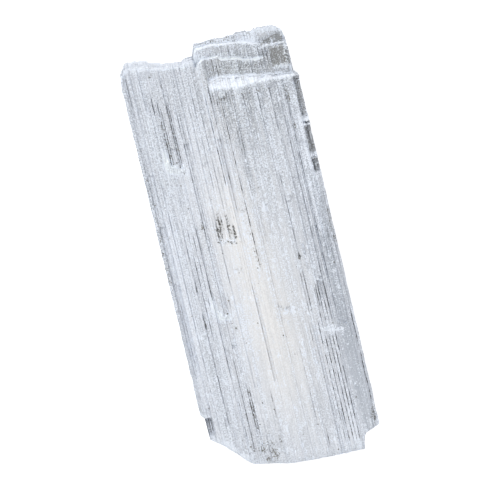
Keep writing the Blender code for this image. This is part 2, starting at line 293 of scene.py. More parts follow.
# Where fine bubbles cloud the crystal: across, along, reach of each, and how milky it is
CLOUDS = [
    (0.5, -24, 9.5, 36, 0.28), (-4, 8, 7, 24, 0.26), (9, 10, 6, 30, -0.1), (9, 36, 9, 13, -0.1),
    (6, 45, 12, 3.4, -0.12), (20.4, -29, 3, 34, -0.3), (8, 52.5, 12, 4, -0.18),
    (20, 52, 4, 5, -0.2), (-24, 0, 1.1, 60, -0.38), (-13.6, 36, 2.6, 14, 0.16),
    (20.4, 28, 1.9, 20, 0.1), (-10, -46, 3, 12, 0.08), (17, -34, 1.4, 26, 0.08),
    (-2.4, 32, 1.2, 24, 0.42), (-11, 20, 4, 20, 0.1), (-21.9, -14, 2.2, 34, 0.34),
    (20.9, 24, 2.2, 28, -0.14), (17, -55, 2.2, 5, 0.3), (17.5, 59.8, 3.4, 1.8, 0.45),
    (-14.3, -18, 2.4, 34, 0.12), (-9, -54, 3, 3, -0.06), (21.4, -3, 2, 52, -0.23),
    (16.5, 44, 5, 3, -0.14), (-8, 10, 5, 12, -0.06), (-3, 53, 1.8, 5, 0.32),
    (11, -56, 6, 3.6, 0.12), (1.5, 55, 2.6, 5, 0.24), (0.5, 32, 2.4, 16, 0.2),
    (4.6, 29, 0.5, 10, -0.3), (12.5, 46, 4, 12, -0.17), (-6, 49, 2.6, 7, -0.12),
    (-2.4, -32, 1.6, 12, 0.1),
]
MILKINESS = 0.585
MILK_WAVER = (2.5, 0.05)
MILK_CALMED = 0.6
LEDGE_MILK = 0.5

# Where the crystal is clean, with few seams and little grain: places as above
CALM = [
    (1.5, -30, 9.5, 28, 1), (9.5, 6, 5, 26, 0.75), (-6, -18, 4, 22, 0.8), (20.8, -38, 2.4, 22, 0.9),
    (-6.5, 8, 4.5, 15, 0.7), (0.5, 8, 4, 18, 0.6), (-20.5, -10, 3, 16, 0.5),
    (21.3, 28, 1.4, 16, 0.8), (-5.5, 34, 4, 14, 0.4), (-18, 58, 6, 1.4, 0.7),
    (-23.1, -12, 0.9, 36, 0.8),
]

# Where its white is warm, not bluish
WARM = [
    (1, -26, 10.5, 26, 0.9), (-3, 10, 9, 20, 0.7), (10, 6, 9, 40, 0.35), (3, 42, 12, 12, 0.35),
]

# Where the painted shade in its seams is darker, or less dark, than elsewhere
LINED = [
    (2, 46, 30, 11, 0.6), (-21, -8, 3.5, 22, -0.5), (20.9, -20, 2, 32, -0.5),
    (-15, -20, 3, 16, 0.4), (-23.2, -10, 0.5, 60, -0.7),
]

# Where its frosted grain is coarser than elsewhere
COARSE = [
    (7, 53, 13, 5, 1.4), (19.5, 53, 4, 5, 0.2), (9, 41, 14, 8, 0.9), (-15, 38, 2.6, 11, 0.8),
    (-7.5, -52, 4.5, 6, 0.9), (-11.5, 8, 2, 9, 0.5), (-23.2, 10, 1.4, 24, 0.8),
    (-15, 49, 6, 6, 0.4), (-19, 24, 4, 12, 0.6), (9, -48, 4, 8, 0.4), (8, 22, 8, 14, 0.4),
    (-1, 38, 3, 14, 0.5), (-12, -4, 3, 14, 0.3), (-17, -30, 5, 20, 0.2), (21, -36, 2.4, 20, -0.4),
]
COARSENESS = 0.85
COARSE_CALMED = 0.45
COARSE_OFF_LEDGE = 0.7

# Where the skin is bruised white: places as above, then rims that follow a line, given
# as points across the blade and how white or how wide the rim is at each
BRUISES = [
    (-16.9, 32.8, 0.6, 1.8, 1), (-16.7, 30.2, 0.8, 1.6, 1.7), (-15.8, 28.6, 1.1, 0.8, 1.8),
    (-14.3, 27.5, 1.4, 0.6, 1.7), (-12.8, 26.7, 0.9, 0.5, 1.2), (-13.9, -10.4, 0.4, 1.6, 1.1),
    (-13.2, -12.6, 0.5, 1.4, 1.4), (-12.5, -14.3, 0.7, 1, 1.5), (-11.4, -15.3, 1.3, 0.6, 1.5),
    (-10.2, -15.6, 0.8, 0.4, 1.3), (6.5, 45.4, 0.6, 1.2, 1.2), (2.2, 45.9, 0.8, 0.6, 1),
    (11.4, 42, 0.3, 4, 0.9), (16.6, -24.6, 1.8, 0.5, 0.8), (18.7, -25.5, 1.7, 0.5, 0.8),
    (6.8, -17.2, 2.6, 1, 0.4), (6.4, 12.3, 0.8, 0.8, 0.6), (20.6, 49.7, 1.8, 0.6, 0.9),
    (19.4, 55.5, 3.2, 0.35, 2.2), (13.5, 58.4, 2.6, 1, 0.5), (18.5, 59.6, 3, 0.4, 0.6),
    (22.3, 57, 0.5, 0.9, 1.4), (22.2, 54.4, 0.5, 1, 1.3), (17.5, 53, 0.22, 2.6, 1),
    (20.2, 51.2, 0.3, 0.8, 0.7), (23.4, 33.7, 1.2, 0.25, 1.6), (23.4, 32.45, 1.2, 0.2, 1.5),
    (23.4, 23.7, 1.2, 0.25, 1.5), (23.4, 22.2, 0.8, 0.2, 1.3), (23.4, 20.6, 0.8, 0.2, 1.2),
    (-22, 12, 1, 30, 0.1), (-2.4, 44, 0.3, 11, 0.4), (-18.5, 20, 1.5, 26, 0.08),
    (21.4, 26, 1, 20, 0.3), (-2.6, 56, 0.9, 3, 0.7), (-23.4, -41, 0.8, 0.4, 1),
    (4, 59.8, 4, 0.4, 0.35), (21.2, -38, 2.6, 26, -0.26), (1.5, -28, 9, 26, -0.12),
    (-5.5, 10, 4, 14, -0.1),
]
BRUISED = 0.16
FROST_WAVER = (2, 0.1)
RIM_REACH = (0.9, 1)
RIM_WHITE = ([SLAB_EDGE, 1.5, 14, 15.5], [0.7, 0.1, 0.3, 0.6])
CRACK_REACH = (0.2, 0.32)
CRACK_WHITE = ([-3, 4, 15, 16.5], [0.5, 2.2, 2.2, 0])
LIP_REACH = (0.2, 1.2)
LIP_WHITE = 0.35
CUT_WHITE = ([-22, -20, -13, -9], [0.3, 0.7, 0.7, 0.3])
CUT_REACH = ([-20, -13, -8], [3, 3, 1.4])

# Painted shade: where the skin is painted dark as shade under the ledge and the crack, down in
# hollows and pits and along the dim outer edges, and how deep the darkest of it is sunk
SHADED_PLACES = [
    (-15.9, 55.2, 0.5, 0.6, 1), (-9.5, -53.4, 0.5, 1.2, 0.6), (-13.2, 51.8, 0.4, 1, 0.7),
    (1.5, 44.6, 3.2, 1.6, 0.45), (8, 43.6, 2.6, 1.6, 0.35), (15, 44.4, 5, 1.2, 0.35),
    (9.5, 51.9, 5.5, 1.2, 0.42), (1.5, 52.8, 2.5, 1.6, 0.25), (4, 60.2, 4.5, 0.5, 0.5),
    (-24, 0, 0.6, 2.4, 0.5), (-23.6, 10, 0.6, 20, 0.4), (-23.6, -20, 0.5, 8, 0.3),
    (23.8, -30, 0.5, 22, 0.5), (23.6, 3, 0.9, 8, 0.6), (-15.5, 37.5, 0.6, 9, 0.5),
    (-13.2, 38, 0.5, 10, 0.5), (21.9, 50.6, 0.7, 2.2, 0.9), (20.2, 57.4, 2, 0.8, 0.35),
    (-7.5, 8.8, 0.6, 3.2, 0.6), (-6.6, 10, 0.35, 4.2, 0.7), (-3.25, 7.7, 0.4, 2.4, 0.65),
    (-5.8, 9.6, 0.3, 3.6, 0.4), (-4.45, 9.6, 0.35, 4.4, 0.75), (-5.6, 5.3, 2, 0.35, 0.4),
    (-11.4, 10.8, 0.4, 1.2, 0.9), (-10.8, 6.8, 0.5, 1.8, 0.6), (4.6, 29.5, 0.5, 9, 0.5),
    (-9.5, -43, 0.5, 8.5, 0.65), (19.8, 42, 0.6, 2.4, 1.1), (19.8, 32.8, 0.5, 1, 1.2),
    (13.5, -40, 0.5, 7, 0.3), (22.9, -51.5, 0.8, 3, 0.8), (-17, -15, 0.3, 2.4, 0.5),
    (12.8, -3.1, 0.35, 0.9, 1), (-11.5, -43, 0.4, 2, 0.5), (-11.5, -53.2, 0.35, 1.4, 0.7),
    (23.4, 33, 1.1, 13, 0.25), (-8.8, -54.3, 0.9, 0.4, 0.6), (-6.3, -55.2, 1.2, 0.4, 0.6),
    (-6.6, -56.6, 1.5, 0.3, 0.5),
]
DARK_SHARE = (0.4, 1)
DARK_DEPTH = 0.25

# Where the skin is split away and the crystal below shows clear
CLEAR_PLACES = [
    (20.4, 57.2, 1.6, 0.5, 0.5), (16.5, 52, 0.9, 2.6, 0.4),
]

# How much frost clear crystal takes away, over what run the shelf behind the ledge turns
# clear, and how clear the shelf, the step and the rim are
CLEAR_BARE = 1.3
SHELF_FROM = (-0.5, 0.3)
CLEAR_SHELF = 0.5
CLEAR_STEP = 0.3
CLEAR_RIM = 0.5

# Stations from the bottom end to the top: how many there are between each two lines
ZONES = {
    "lower end": 33, "body": 132, "below the ledge": 14, "ledge": 9, "shelf": 12,
    "crack": 1, "step": 8, "lip": 1, "rim": 6,
}
STATION_JITTER = 0.2

# The ledge: how far down each of its stations is, then how white and how smooth it is by
# the share of the way over it
LEDGE_PROFILE = [0, 0.06, 0.2, 0.34, 0.46, 0.56, 0.64, 0.7, 0.62]
LEDGE_JITTER = 0.09
LEDGE_FROST = (
    [-0.3, -0.05, 0.06, 0.2, 0.9, 1, 1.08, 1.16], [0, 0.5, 0.42, 0.2, 0.2, 0.5, 0.5, 0],
)
LEDGE_SMOOTH = ([-0.1, 0.05, 1, 1.15], [0, 1, 1, 0])


def either_way(size, count=None):
    """A random amount, or so many of them, up to this size more or less than nothing."""
    return SHAPES.uniform(-size, size, count)


def across_line(line, across):
    """The place along the blade of a line of (across, along) points."""
    return np.interp(across, *np.transpose(line))


def wander(along, every, size):
    """A random line along the blade that turns about every so many millimetres."""
    knots = np.arange(-END - every, END + 2 * every, every)
    return np.interp(along, knots, either_way(size, len(knots)))


def zone_ends(across, shift):
    """The places along the blade where the zones of one column meet."""
    ledge = across_line(LEDGE_FRONT, across) + shift
    behind = across_line(LEDGE_BACK, across) + shift / 2
    crack = across_line(CRACK_FRONT, across) + shift / 2
    lip = across_line(LIP_FRONT, across) + shift / 3
    top = across_line(TOP_END, across) + shift * 0.7
    return [
        across_line(BOTTOM_END, across) + abs(shift) / 2, *BODY_END, ledge, behind,
        crack, crack + CRACK_RUN, lip, min(lip + LIP_RUN, (lip + top) / 2), top,
    ]


def stations(across, shift):
    """Every station of one column, from the bottom end to the top."""
    ends = zone_ends(across, shift)
    runs = []
    for low, high, count in zip(ends, ends[1:], ZONES.values()):
        run = np.linspace(low, high, count, endpoint=False)
        run[1:] += either_way(STATION_JITTER, count - 1) * (high - low) / count
        runs.append(run)
    return np.concatenate(runs + [[ends[-1]]])


def stretch(across, shift, along):
    """Moves the stations of a fibre's middle to where its edge has its zones."""
    first_of_zone = np.cumsum([0, *ZONES.values()])
    return np.interp(along, along[first_of_zone], zone_ends(across, shift))


def station_layers():
    """The layer that the front is on at each station; 0.5 is halfway down a step."""
    uneven = either_way(LEDGE_JITTER, len(LEDGE_PROFILE) - 1)
    ledge = np.array(LEDGE_PROFILE) + np.append(0, uneven)
    below = ZONES["lower end"] + ZONES["body"] + ZONES["below the ledge"]
    return np.concatenate([
        np.zeros(below), ledge, np.full(ZONES["shelf"] + 1, 1.0),
        np.full(ZONES["step"] + 1, 2.0), np.full(ZONES["rim"] + 1, 3.0),
    ])


def opened(along, breaks):
    """Brings the stations on both sides of each break close to it, for a sharp rim."""
    along = along.copy()
    for place in breaks:
        above = int(np.searchsorted(along, place))
        if 1 < above < len(along) - 1 and along[above] - along[above - 1] > 2 * RIM:
            along[above - 1] = place - RIM
            along[above] = place + RIM
    return along


def groove_at(seam, along):
    """Half width, depth and darkness of the opening at one seam, along the blade."""
    half = np.full(along.shape, HAIRLINE)
    calm = np.clip(spread_at(CALM, seam, along), 0, 1)
    depth = SHAPES.uniform(*HAIR_DEPTH) + wander(along, *HAIR_WAVER)
    depth *= 1 - HAIR_DEPTH_CALMED * calm
    dark = SHAPES.random() ** 2 * HAIR_DARK + wander(along, *HAIR_DARK_WAVER)
    dark *= 1 - HAIR_DARK_CALMED * calm
    dark = np.clip(dark * (1 + spread_at(LINED, seam, along)), 0, 1)
    for across, low, high, groove_half, groove_depth, darkness in GROOVES:
        if abs(across - seam) > 0.01:
            continue
        taper = min(GROOVE_TAPER, (high - low) / 6)
        open_here = np.clip(np.minimum(along - low, high - along) / taper, 0, 1)
        open_here *= np.clip(GROOVE_OPEN + wander(along, *GROOVE_WAVER), 0, 1)
        half = np.maximum(half, HAIRLINE + groove_half * open_here)
        depth = np.maximum(depth, groove_depth * open_here)
        shade = SHAPES.uniform(*GROOVE_SHADE, len(along))
        dark = np.maximum(dark, darkness * open_here * shade)
    return half, depth, dark


def spread_at(places, across, along):
    """The sum at one place of soft patches: across, along, reach of each, and amount."""
    total = np.zeros(along.shape)
    for middle, height, reach_across, reach_along, amount in places:
        far = ((across - middle) / reach_across) ** 2 + ((along - height) / reach_along) ** 2
        total += amount * np.exp(-far)
    return total


def near(along, line, below, above):
    """1 on a line, falling to 0 so many millimetres below and above it."""
    off = along - line
    return np.clip(1 - np.where(off < 0, -off / below, off / above), 0, 1)


def ledge_share(across, along):
    """How far over the plate's ledge each place is: 0 at its front, 1 at its back."""
    if across <= PLATE_EDGE:
        return np.full(along.shape, -1.0)
    front = across_line(LEDGE_FRONT, across)
    return (along - front) / (across_line(LEDGE_BACK, across) - front)


def bruised_at(across, along):
    """How bruised white the skin is at a place, with the rims of the upper end."""
    rims = [(TOP_END, RIM_REACH, np.interp(across, *RIM_WHITE))]
    if across > SLAB_EDGE:
        rims.append((CRACK_FRONT, CRACK_REACH, np.interp(across, *CRACK_WHITE)))
        rims.append((LIP_FRONT, LIP_REACH, LIP_WHITE))
    frost = BRUISED + spread_at(BRUISES, across, along)
    for line, reach, white in rims:
        frost += white * near(along, across_line(line, across), *reach)
    frost += np.interp(ledge_share(across, along), *LEDGE_FROST)
    cut = near(along, across_line(BOTTOM_END, across), 1, np.interp(across, *CUT_REACH))
    return frost + np.interp(across, *CUT_WHITE) * cut


def clear_at(across, along):
    """How clear the layers behind the ledge are, where they aren't bruised."""
    if across < PLATE_EDGE:
        return np.zeros(along.shape)
    back = across_line(LEDGE_BACK, across)
    crack = across_line(CRACK_FRONT, across)
    lip = across_line(LIP_FRONT, across)
    clear = np.interp(along, [back + SHELF_FROM[0], back + SHELF_FROM[1]], [0, CLEAR_SHELF])
    clear = np.where(along > crack + CRACK_RUN, CLEAR_STEP, clear)
    return np.where(along > lip + LIP_RUN, CLEAR_RIM, clear)


def fibre_bounds():
    """Where the fibres meet, across the blade: at every seam and groove, and between."""
    fixed = sorted({-SIDE, *SEAMS, *[across for across, *_ in GROOVES], SIDE})
    bounds = [fixed[0]]
    for left, right in zip(fixed, fixed[1:]):
        count = max(1, round((right - left) / FIBRE_WIDTH))
        jitter = either_way(FIBRE_JITTER, count - 1)
        bounds += list(left + (right - left) * (np.arange(1, count) + jitter) / count)
        bounds.append(right)
    return bounds


def front_height(across, along, layers):
    """Height of the front above the resting face, before laths, chips and grooves."""
    from_end = along - across_line(BOTTOM_END, across)
    bevel = END_BEVEL * np.clip(1 - from_end / END_BEVEL_RUN, 0, 1) ** 2
    if across > PLATE_EDGE:
        height = np.interp(layers, range(4), PLATE_LAYERS)
    elif across > SLAB_EDGE:
        height = np.interp(layers, range(4), SLAB_LAYERS)
    else:
        height = np.full(along.shape, SLAB_LAYERS[0])
    fall = SLAB_FALL * max(0.0, PLATE_EDGE - across) / (SIDE + PLATE_EDGE)
    if across <= PLATE_EDGE:
        rise = np.clip((RISES_FROM - along) / (RISES_FROM - LEVEL_AT), 0, 1)
        height = height + SLAB_RISE * rise * rise * (3 - 2 * rise)
    swell = sum(size * np.sin(along / long + across / wide) for size, long, wide in SWELLS)
    return height - fall - bevel + swell


def chip_in(chip, across, along, jag):
    """How deep one chip is along a column, and how near its lower rim each place is."""
    start, stop = chip["low"][0][0], chip["low"][-1][0]
    if not start < across < stop:
        return np.zeros(along.shape), np.zeros(along.shape)
    low = across_line(chip["low"], across) + jag[0]
    high = across_line(chip["high"], across) + jag[1]
    ends = np.clip((along - low) / chip["runs"][0], 0, 1)
    ends *= np.clip((high - along) / chip["runs"][1], 0, 1)
    return ends, near(along, low, *CHIP_RIM)


def fibre_run(left, right):
    """One fibre: the places, heights and surface values of its two edges."""
    middle = (left + right) / 2
    lath = laths[int(np.searchsorted(SEAMS, middle))]
    shift = lath["end"] + either_way(FIBRE_SHIFT)
    layers = station_layers()
    places = np.sort(SHAPES.uniform(-END, BREAKS_TO, FIBRE_BREAKS))
    levels = SHAPES.normal(0, FIBRE_LEVEL, FIBRE_BREAKS + 1)
    lost = SHAPES.random(FIBRE_BREAKS + 1) < FIBRE_LOST
    levels -= lost * SHAPES.uniform(*BREAK_DEPTH, FIBRE_BREAKS + 1)
    whiteness = SHAPES.uniform(*FIBRE_WHITE, FIBRE_BREAKS + 1)
    own_milk = SHAPES.normal(0, FIBRE_MILK, FIBRE_BREAKS + 1) + SHAPES.normal(0, FIBRE_MILK)
    flakes = [
        (low + either_way(FLAKE_JITTER), high + either_way(FLAKE_JITTER), depth)
        for low, high, depth in lath["flakes"]
    ]
    jags = either_way(1, (len(CHIPS), 2)) * [[chip["ragged"]] for chip in CHIPS.values()]
    deepening = SHAPES.uniform(*CHIP_DEEPER, len(CHIPS))
    tilt = either_way(FIBRE_TILT)
    slant = either_way(BREAK_SLANT, FIBRE_BREAKS)
    rims = [place for flake in flakes for place in flake[:2]]
    for chip, jag in zip(CHIPS.values(), jags):
        if chip["low"][0][0] < middle < chip["low"][-1][0]:
            rims.append(across_line(chip["low"], middle) + jag[0])
            rims.append(across_line(chip["high"], middle) + jag[1])
    along_middle = stations(middle, shift)
    edges = []
    for hand, across in ((-1, left), (1, right)):
        here = places + hand * slant
        along = opened(stretch(across, shift, along_middle), [*here, *rims])
        piece = np.searchsorted(here, along)
        calm = np.clip(spread_at(CALM, across, along), 0, 1)
        relief = lath["level"] + lath["tilt"] * (across - lath["middle"]) + hand * tilt
        height = front_height(across, along, layers)
        height = height + relief * (LATH_RELIEF - RELIEF_CALMED * calm)
        height += levels[piece] * (1 - LEVEL_CALMED * calm)
        frost = bruised_at(across, along) + whiteness[piece] + wander(along, *FROST_WAVER)
        at_break = np.min(np.abs(along[:, None] - here[None, :]), axis=1)
        frost += BREAK_WHITE * np.clip(1 - at_break / BREAK_WHITE_REACH, 0, 1)
        clear = clear_at(across, along)
        for low, high, depth in flakes:
            height -= depth * ((low < along) & (along < high))
        for chip, jag, deeper in zip(CHIPS.values(), jags, deepening):
            ends, rim = chip_in(chip, middle, along, jag)
            height -= chip["depth"] * deeper * ends
            clear = np.maximum(clear, chip["clear"] * (ends > CHIP_CLEAR_FROM))
            bare = CHIP_BARE * chip["clear"] * (ends > CHIP_BARE_FROM)
            frost = np.maximum(np.maximum(frost * (1 - bare), 0), chip["white"] * rim)
        clear_here = spread_at(CLEAR_PLACES, across, along)
        clear = np.maximum(clear, clear_here)
        frost -= CLEAR_BARE * clear_here
        coarse = COARSENESS - COARSE_CALMED * calm + spread_at(COARSE, across, along)
        on_ledge = np.interp(ledge_share(across, along), *LEDGE_SMOOTH)
        coarse *= 1 - COARSE_OFF_LEDGE * on_ledge
        milk = spread_at(CLOUDS, across, along) + MILKINESS
        milk += (own_milk[piece] + wander(along, *MILK_WAVER)) * (1 - MILK_CALMED * calm)
        milk += LEDGE_MILK * on_ledge
        # Painted shade at the shaded places, which also sink the skin a little there
        dark = spread_at(SHADED_PLACES, across, along)
        dark *= SHAPES.uniform(*DARK_SHARE, len(along))
        height -= DARK_DEPTH * np.clip(dark, 0, 1)
        rough = GRAIN * coarse + FROST_GRAIN * np.clip(frost, 0, 1)
        height += SHAPES.normal(0, 1, len(along)) * rough
        warm = np.clip(spread_at(WARM, across, along), 0, 1)
        edges.append({
            "along": along, "height": height, "frost": frost, "clear": clear, "milk": milk,
            "dark": dark, "coarse": coarse, "warm": warm,
        })
    return edges


def whole_front():
    """Columns of the whole front, left to right: fibre edges with their seams between."""
    bounds = fibre_bounds()
    runs = [fibre_run(left, right) for left, right in zip(bounds, bounds[1:])]
    columns = []
    for number, (left_edge, right_edge) in enumerate(runs):
        left, right = bounds[number], bounds[number + 1]
        room = GROOVE_ROOM * (right - left)
        for hand, seam, edge in ((1, left, left_edge), (-1, right, right_edge)):
            outermost = seam in (bounds[0], bounds[-1])
            half = 0.0 if outermost else np.minimum(groove_at(seam, edge["along"])[0], room)
            across = seam + hand * half + np.zeros(len(edge["along"]))
            columns.append({"across": across, "seam": seam, **edge})
        if number + 1 < len(runs):
            following = runs[number + 1][0]
            along = (right_edge["along"] + following["along"]) / 2
            _, depth, dark = groove_at(right, along)
            columns.append({
                "across": np.full(along.shape, right), "seam": right, "along": along,
                "height": np.minimum(right_edge["height"], following["height"]) - depth,
                "dark": np.maximum(dark, (right_edge["dark"] + following["dark"]) / 2),
                "frost": (right_edge["frost"] + following["frost"]) / 2 - GROOVE_BARE * dark,
                "clear": np.maximum(right_edge["clear"], following["clear"]),
                "milk": (right_edge["milk"] + following["milk"]) / 2,
                "coarse": right_edge["coarse"], "warm": right_edge["warm"],
            })
    return columns


# The surface values that the skin carries for its material, in this order, and how far
# two faces turn where the edge between them stays sharp
SURFACE = ("frost", "clear", "dark", "milk", "coarse", "warm")
SHARP_FROM = math.radians(32)

# Leaves: the layers that show on the two sides and the ends, from back to front. The
# profile gives how far the left and the right side are worn back at a share of the height.
LEAVES = 9
LEAF_THICKNESS = (0.6, 1.6)
SIDE_PROFILE = [
    (0, 0.9, 0.7), (0.12, 0.3, 0.1), (0.3, 0.15, 0.2), (0.45, 0.4, 0.3), (0.6, 0.15, 0.1),
    (0.8, 0, 0.1), (1, 0, 0.1),
]
LEAF_RELIEF = 0.5
LEAF_BREAKS = 8
PROUD_LEAVES = {-1: (6, 7, 8), 1: (4, 5, 7, 8)}
LEAF_LOST = 0.14
LEAF_LOSS = (0.5, 1.1)
LEAF_GAP = 0.11
LEAF_SEAM = (0.1, 0.45)
LEAF_WAVER = 0.12
PROUD_WEAR = 0.1
SIDE_KNOTS = 65
SIDE_MILK = (0.42, 0.1)
SIDE_FROST = (0, 0.3)
SIDE_DARK = (0.1, 0.8)
SIDE_CLEAR = 0.15
# The seams between leaves are painted dark: painted shade down in the gaps
SIDE_SEAM_DARK = 0.9
LEAF_BREAK_WHITE = 0.6
LEAF_BREAK_REACH = 0.7
WEAR_REACH = (4, 1.6)
SHOULDER_FROM = 46.2
SHOULDER = 1.1

# The broken ends, the lower one first: how far they are worn back at a share of the
# height, how the upper one bulges, and how leaves and fibres stand out of both
END_PROFILES = [
    [(0, 1), (0.15, 0.25), (0.45, 0.45), (0.75, 0.1), (1, 0)],
    [(0, 0), (0.3, 0), (0.6, 0.1), (1, 0)],
]
TOP_BULGE = [(-SIDE, 1.2), (-13, 1.2), (-8, 0.5), (SLAB_EDGE, 0.3), (PLATE_EDGE, 0)]
END_WEAR = (1, 0.5)
END_BREAKS = 7
END_KNOTS = 49
END_RELIEF = 0.75
END_LEAN = 0.06
END_FROST = (0.25, 0.8)
END_DARK = (-0.2, 0.9)
# How dark the seams between leaves are painted at the ends: painted shade in the gaps
END_SEAM_DARK = 0.7
END_RISE = 0.04
END_RISE_EVERY = 4
FIBRE_RISE = 0.006
FIBRE_END = 0.14
SEAM_END = 0.1
SPLINTERS = 5
SPLINTER = 0.34
HACKLE = 0.05

# The back: flat cleavage, with sheets lost from it and seams open between its laths,
# with painted shade down in the seams
BACK_FLAT = 19
BACK_LIFT = 0.9
BACK_END = 4
BACK_GRAIN = 0.1
BACK_FROST = (0.2, 0.1)
BACK_MILK = (0.5, 0.08)
BACK_OPEN = (0.2, 1)
BACK_DARK = 1.6
BACK_SHEETS = [
    (12.8, SIDE + 1, -29.5, END + 1, 0.7), (-SIDE - 1, -15.4, -END - 1, -16, 0.5),
    (4.3, 7.1, -3, 28, 0.35),
]
BACK_SEAMS = {
    -19.8: 0.3, -17.0: 0.5, -11.1: 0.4, -7.6: 0.25, -2.4: 0.6, 4.1: 0.4, 9.1: 0.3, 12.8: 0.3,
    17.7: 0.4,
}


def leaf_rows():
    """(share of the height, leaf, whether it is the seam over that leaf) of every row."""
    thickness = SHAPES.uniform(*LEAF_THICKNESS, LEAVES)
    cuts = np.append(0, np.cumsum(thickness) / thickness.sum())
    rows = []
    for leaf, (low, high) in enumerate(zip(cuts, cuts[1:])):
        gap = LEAF_GAP * (high - low)
        rows.append((low + (gap if leaf else 0.0), leaf, False))
        if leaf < LEAVES - 1:
            rows.append((high - gap, leaf, False))
            rows.append((high, leaf, True))
        else:
            rows.append((1.0, leaf, False))
    return rows


def leaf_at_side(hand, leaf):
    """One leaf's edge at one side: where it breaks, and how each stretch stands and looks."""
    pieces = LEAF_BREAKS + 1
    worn = SHAPES.uniform(0, LEAF_RELIEF, pieces)
    worn += (SHAPES.random(pieces) < LEAF_LOST) * SHAPES.uniform(*LEAF_LOSS, pieces)
    if leaf in PROUD_LEAVES[hand]:
        worn *= PROUD_WEAR
    return {
        "breaks": np.sort(either_way(END, LEAF_BREAKS)), "worn": worn,
        "milk": SHAPES.normal(*SIDE_MILK, pieces), "frost": SHAPES.uniform(*SIDE_FROST, pieces),
        "seam": SHAPES.uniform(*LEAF_SEAM), "waver": either_way(LEAF_WAVER, SIDE_KNOTS),
        "dark": SHAPES.uniform(*SIDE_DARK, SIDE_KNOTS),
    }


ROWS = leaf_rows()
SIDE_LEAVES = {
    (hand, leaf): leaf_at_side(hand, leaf) for hand in (-1, 1) for leaf in range(LEAVES)
}


def surface_of(frost, dark, milk, clear=0.1, coarse=1.0, warm=0.0):
    """The surface values of a place on a side, an end or the back, in SURFACE's order."""
    return frost, clear, dark, milk, coarse, warm


def read_at(place, values, reach):
    """A wandering value of a leaf, read at one place between minus and plus its reach."""
    return np.interp(place, np.linspace(-reach, reach, len(values)), values)


def worn_back(hand, along, row):
    """How far one side is worn back at a row, at each place along the blade."""
    share, leaf, seam = ROWS[row]
    shares, left, right = np.transpose(SIDE_PROFILE)
    worn = np.interp(share, shares, left if hand < 0 else right)
    it = SIDE_LEAVES[hand, leaf]
    worn = worn + it["worn"][np.searchsorted(it["breaks"], along)]
    worn = worn + read_at(along, it["waver"], END)
    if seam:
        above = SIDE_LEAVES[hand, leaf + 1]
        worn = max(worn, above["worn"][np.searchsorted(above["breaks"], along)])
        worn = worn + it["seam"] * read_at(along, it["dark"], END)
    if hand > 0:
        worn = worn + SHOULDER * (along > SHOULDER_FROM)
    return worn


def look_of_side(hand, along, row):
    """The surface values of one side at a row and a place."""
    _, leaf, seam = ROWS[row]
    it = SIDE_LEAVES[hand, leaf]
    piece = int(np.searchsorted(it["breaks"], along))
    at_break = float(np.min(np.abs(it["breaks"] - along)))
    frost = it["frost"][piece] + LEAF_BREAK_WHITE * max(0.0, 1 - at_break / LEAF_BREAK_REACH)
    dark = SIDE_SEAM_DARK * read_at(along, it["dark"], END) if seam else 0.0
    return surface_of(frost - dark, dark, it["milk"][piece], clear=SIDE_CLEAR)


def worn_across(across, along, row):
    """Where a column stands on one row, once the two sides are worn back."""
    reach = WEAR_REACH[0] + (WEAR_REACH[1] - WEAR_REACH[0]) * ROWS[row][0]
    near_left = np.clip(1 - (SIDE + across) / reach, 0, 1)
    near_right = np.clip(1 - (SIDE - across) / reach, 0, 1)
    worn = worn_back(-1, along, row) * near_left - worn_back(1, along, row) * near_right
    return across + worn


def back_height(across, along):
    """Height of the back face: flat in the middle, turned up towards the rim."""
    side = np.clip((np.abs(across) - BACK_FLAT) / (SIDE - BACK_FLAT), 0, 1)
    to_end = np.minimum(
        along - across_line(BOTTOM_END, across), across_line(TOP_END, across) - along
    )
    lift = BACK_LIFT * np.maximum(side, np.clip(1 - to_end / BACK_END, 0, 1))
    for left, right, low, high, depth in BACK_SHEETS:
        lift += depth * ((left < across) & (across < right) & (low < along) & (along < high))
    return lift


def leaf_at_end():
    """One leaf's broken edge at one end: where it steps, and how each stretch stands."""
    pieces = END_BREAKS + 1
    return {
        "breaks": np.sort(either_way(SIDE, END_BREAKS)),
        "worn": SHAPES.uniform(0, END_RELIEF, pieces), "lean": either_way(END_LEAN, pieces),
        "frost": SHAPES.uniform(*END_FROST, pieces), "seam": SHAPES.uniform(*LEAF_SEAM),
        "waver": either_way(LEAF_WAVER, END_KNOTS), "dark": SHAPES.uniform(*END_DARK, END_KNOTS),
    }


END_LEAVES = {(end, leaf): leaf_at_end() for end in (0, 1) for leaf in range(LEAVES)}


def worn_end(end, across, leaf):
    """How far one leaf is worn back at one end, at a place across the blade."""
    it = END_LEAVES[end, leaf]
    piece = int(np.searchsorted(it["breaks"], across))
    edges = np.concatenate([[-SIDE], it["breaks"], [SIDE]])
    off_middle = across - (edges[piece] + edges[piece + 1]) / 2
    worn = it["worn"][piece] + it["lean"][piece] * off_middle
    return worn + read_at(across, it["waver"], SIDE)


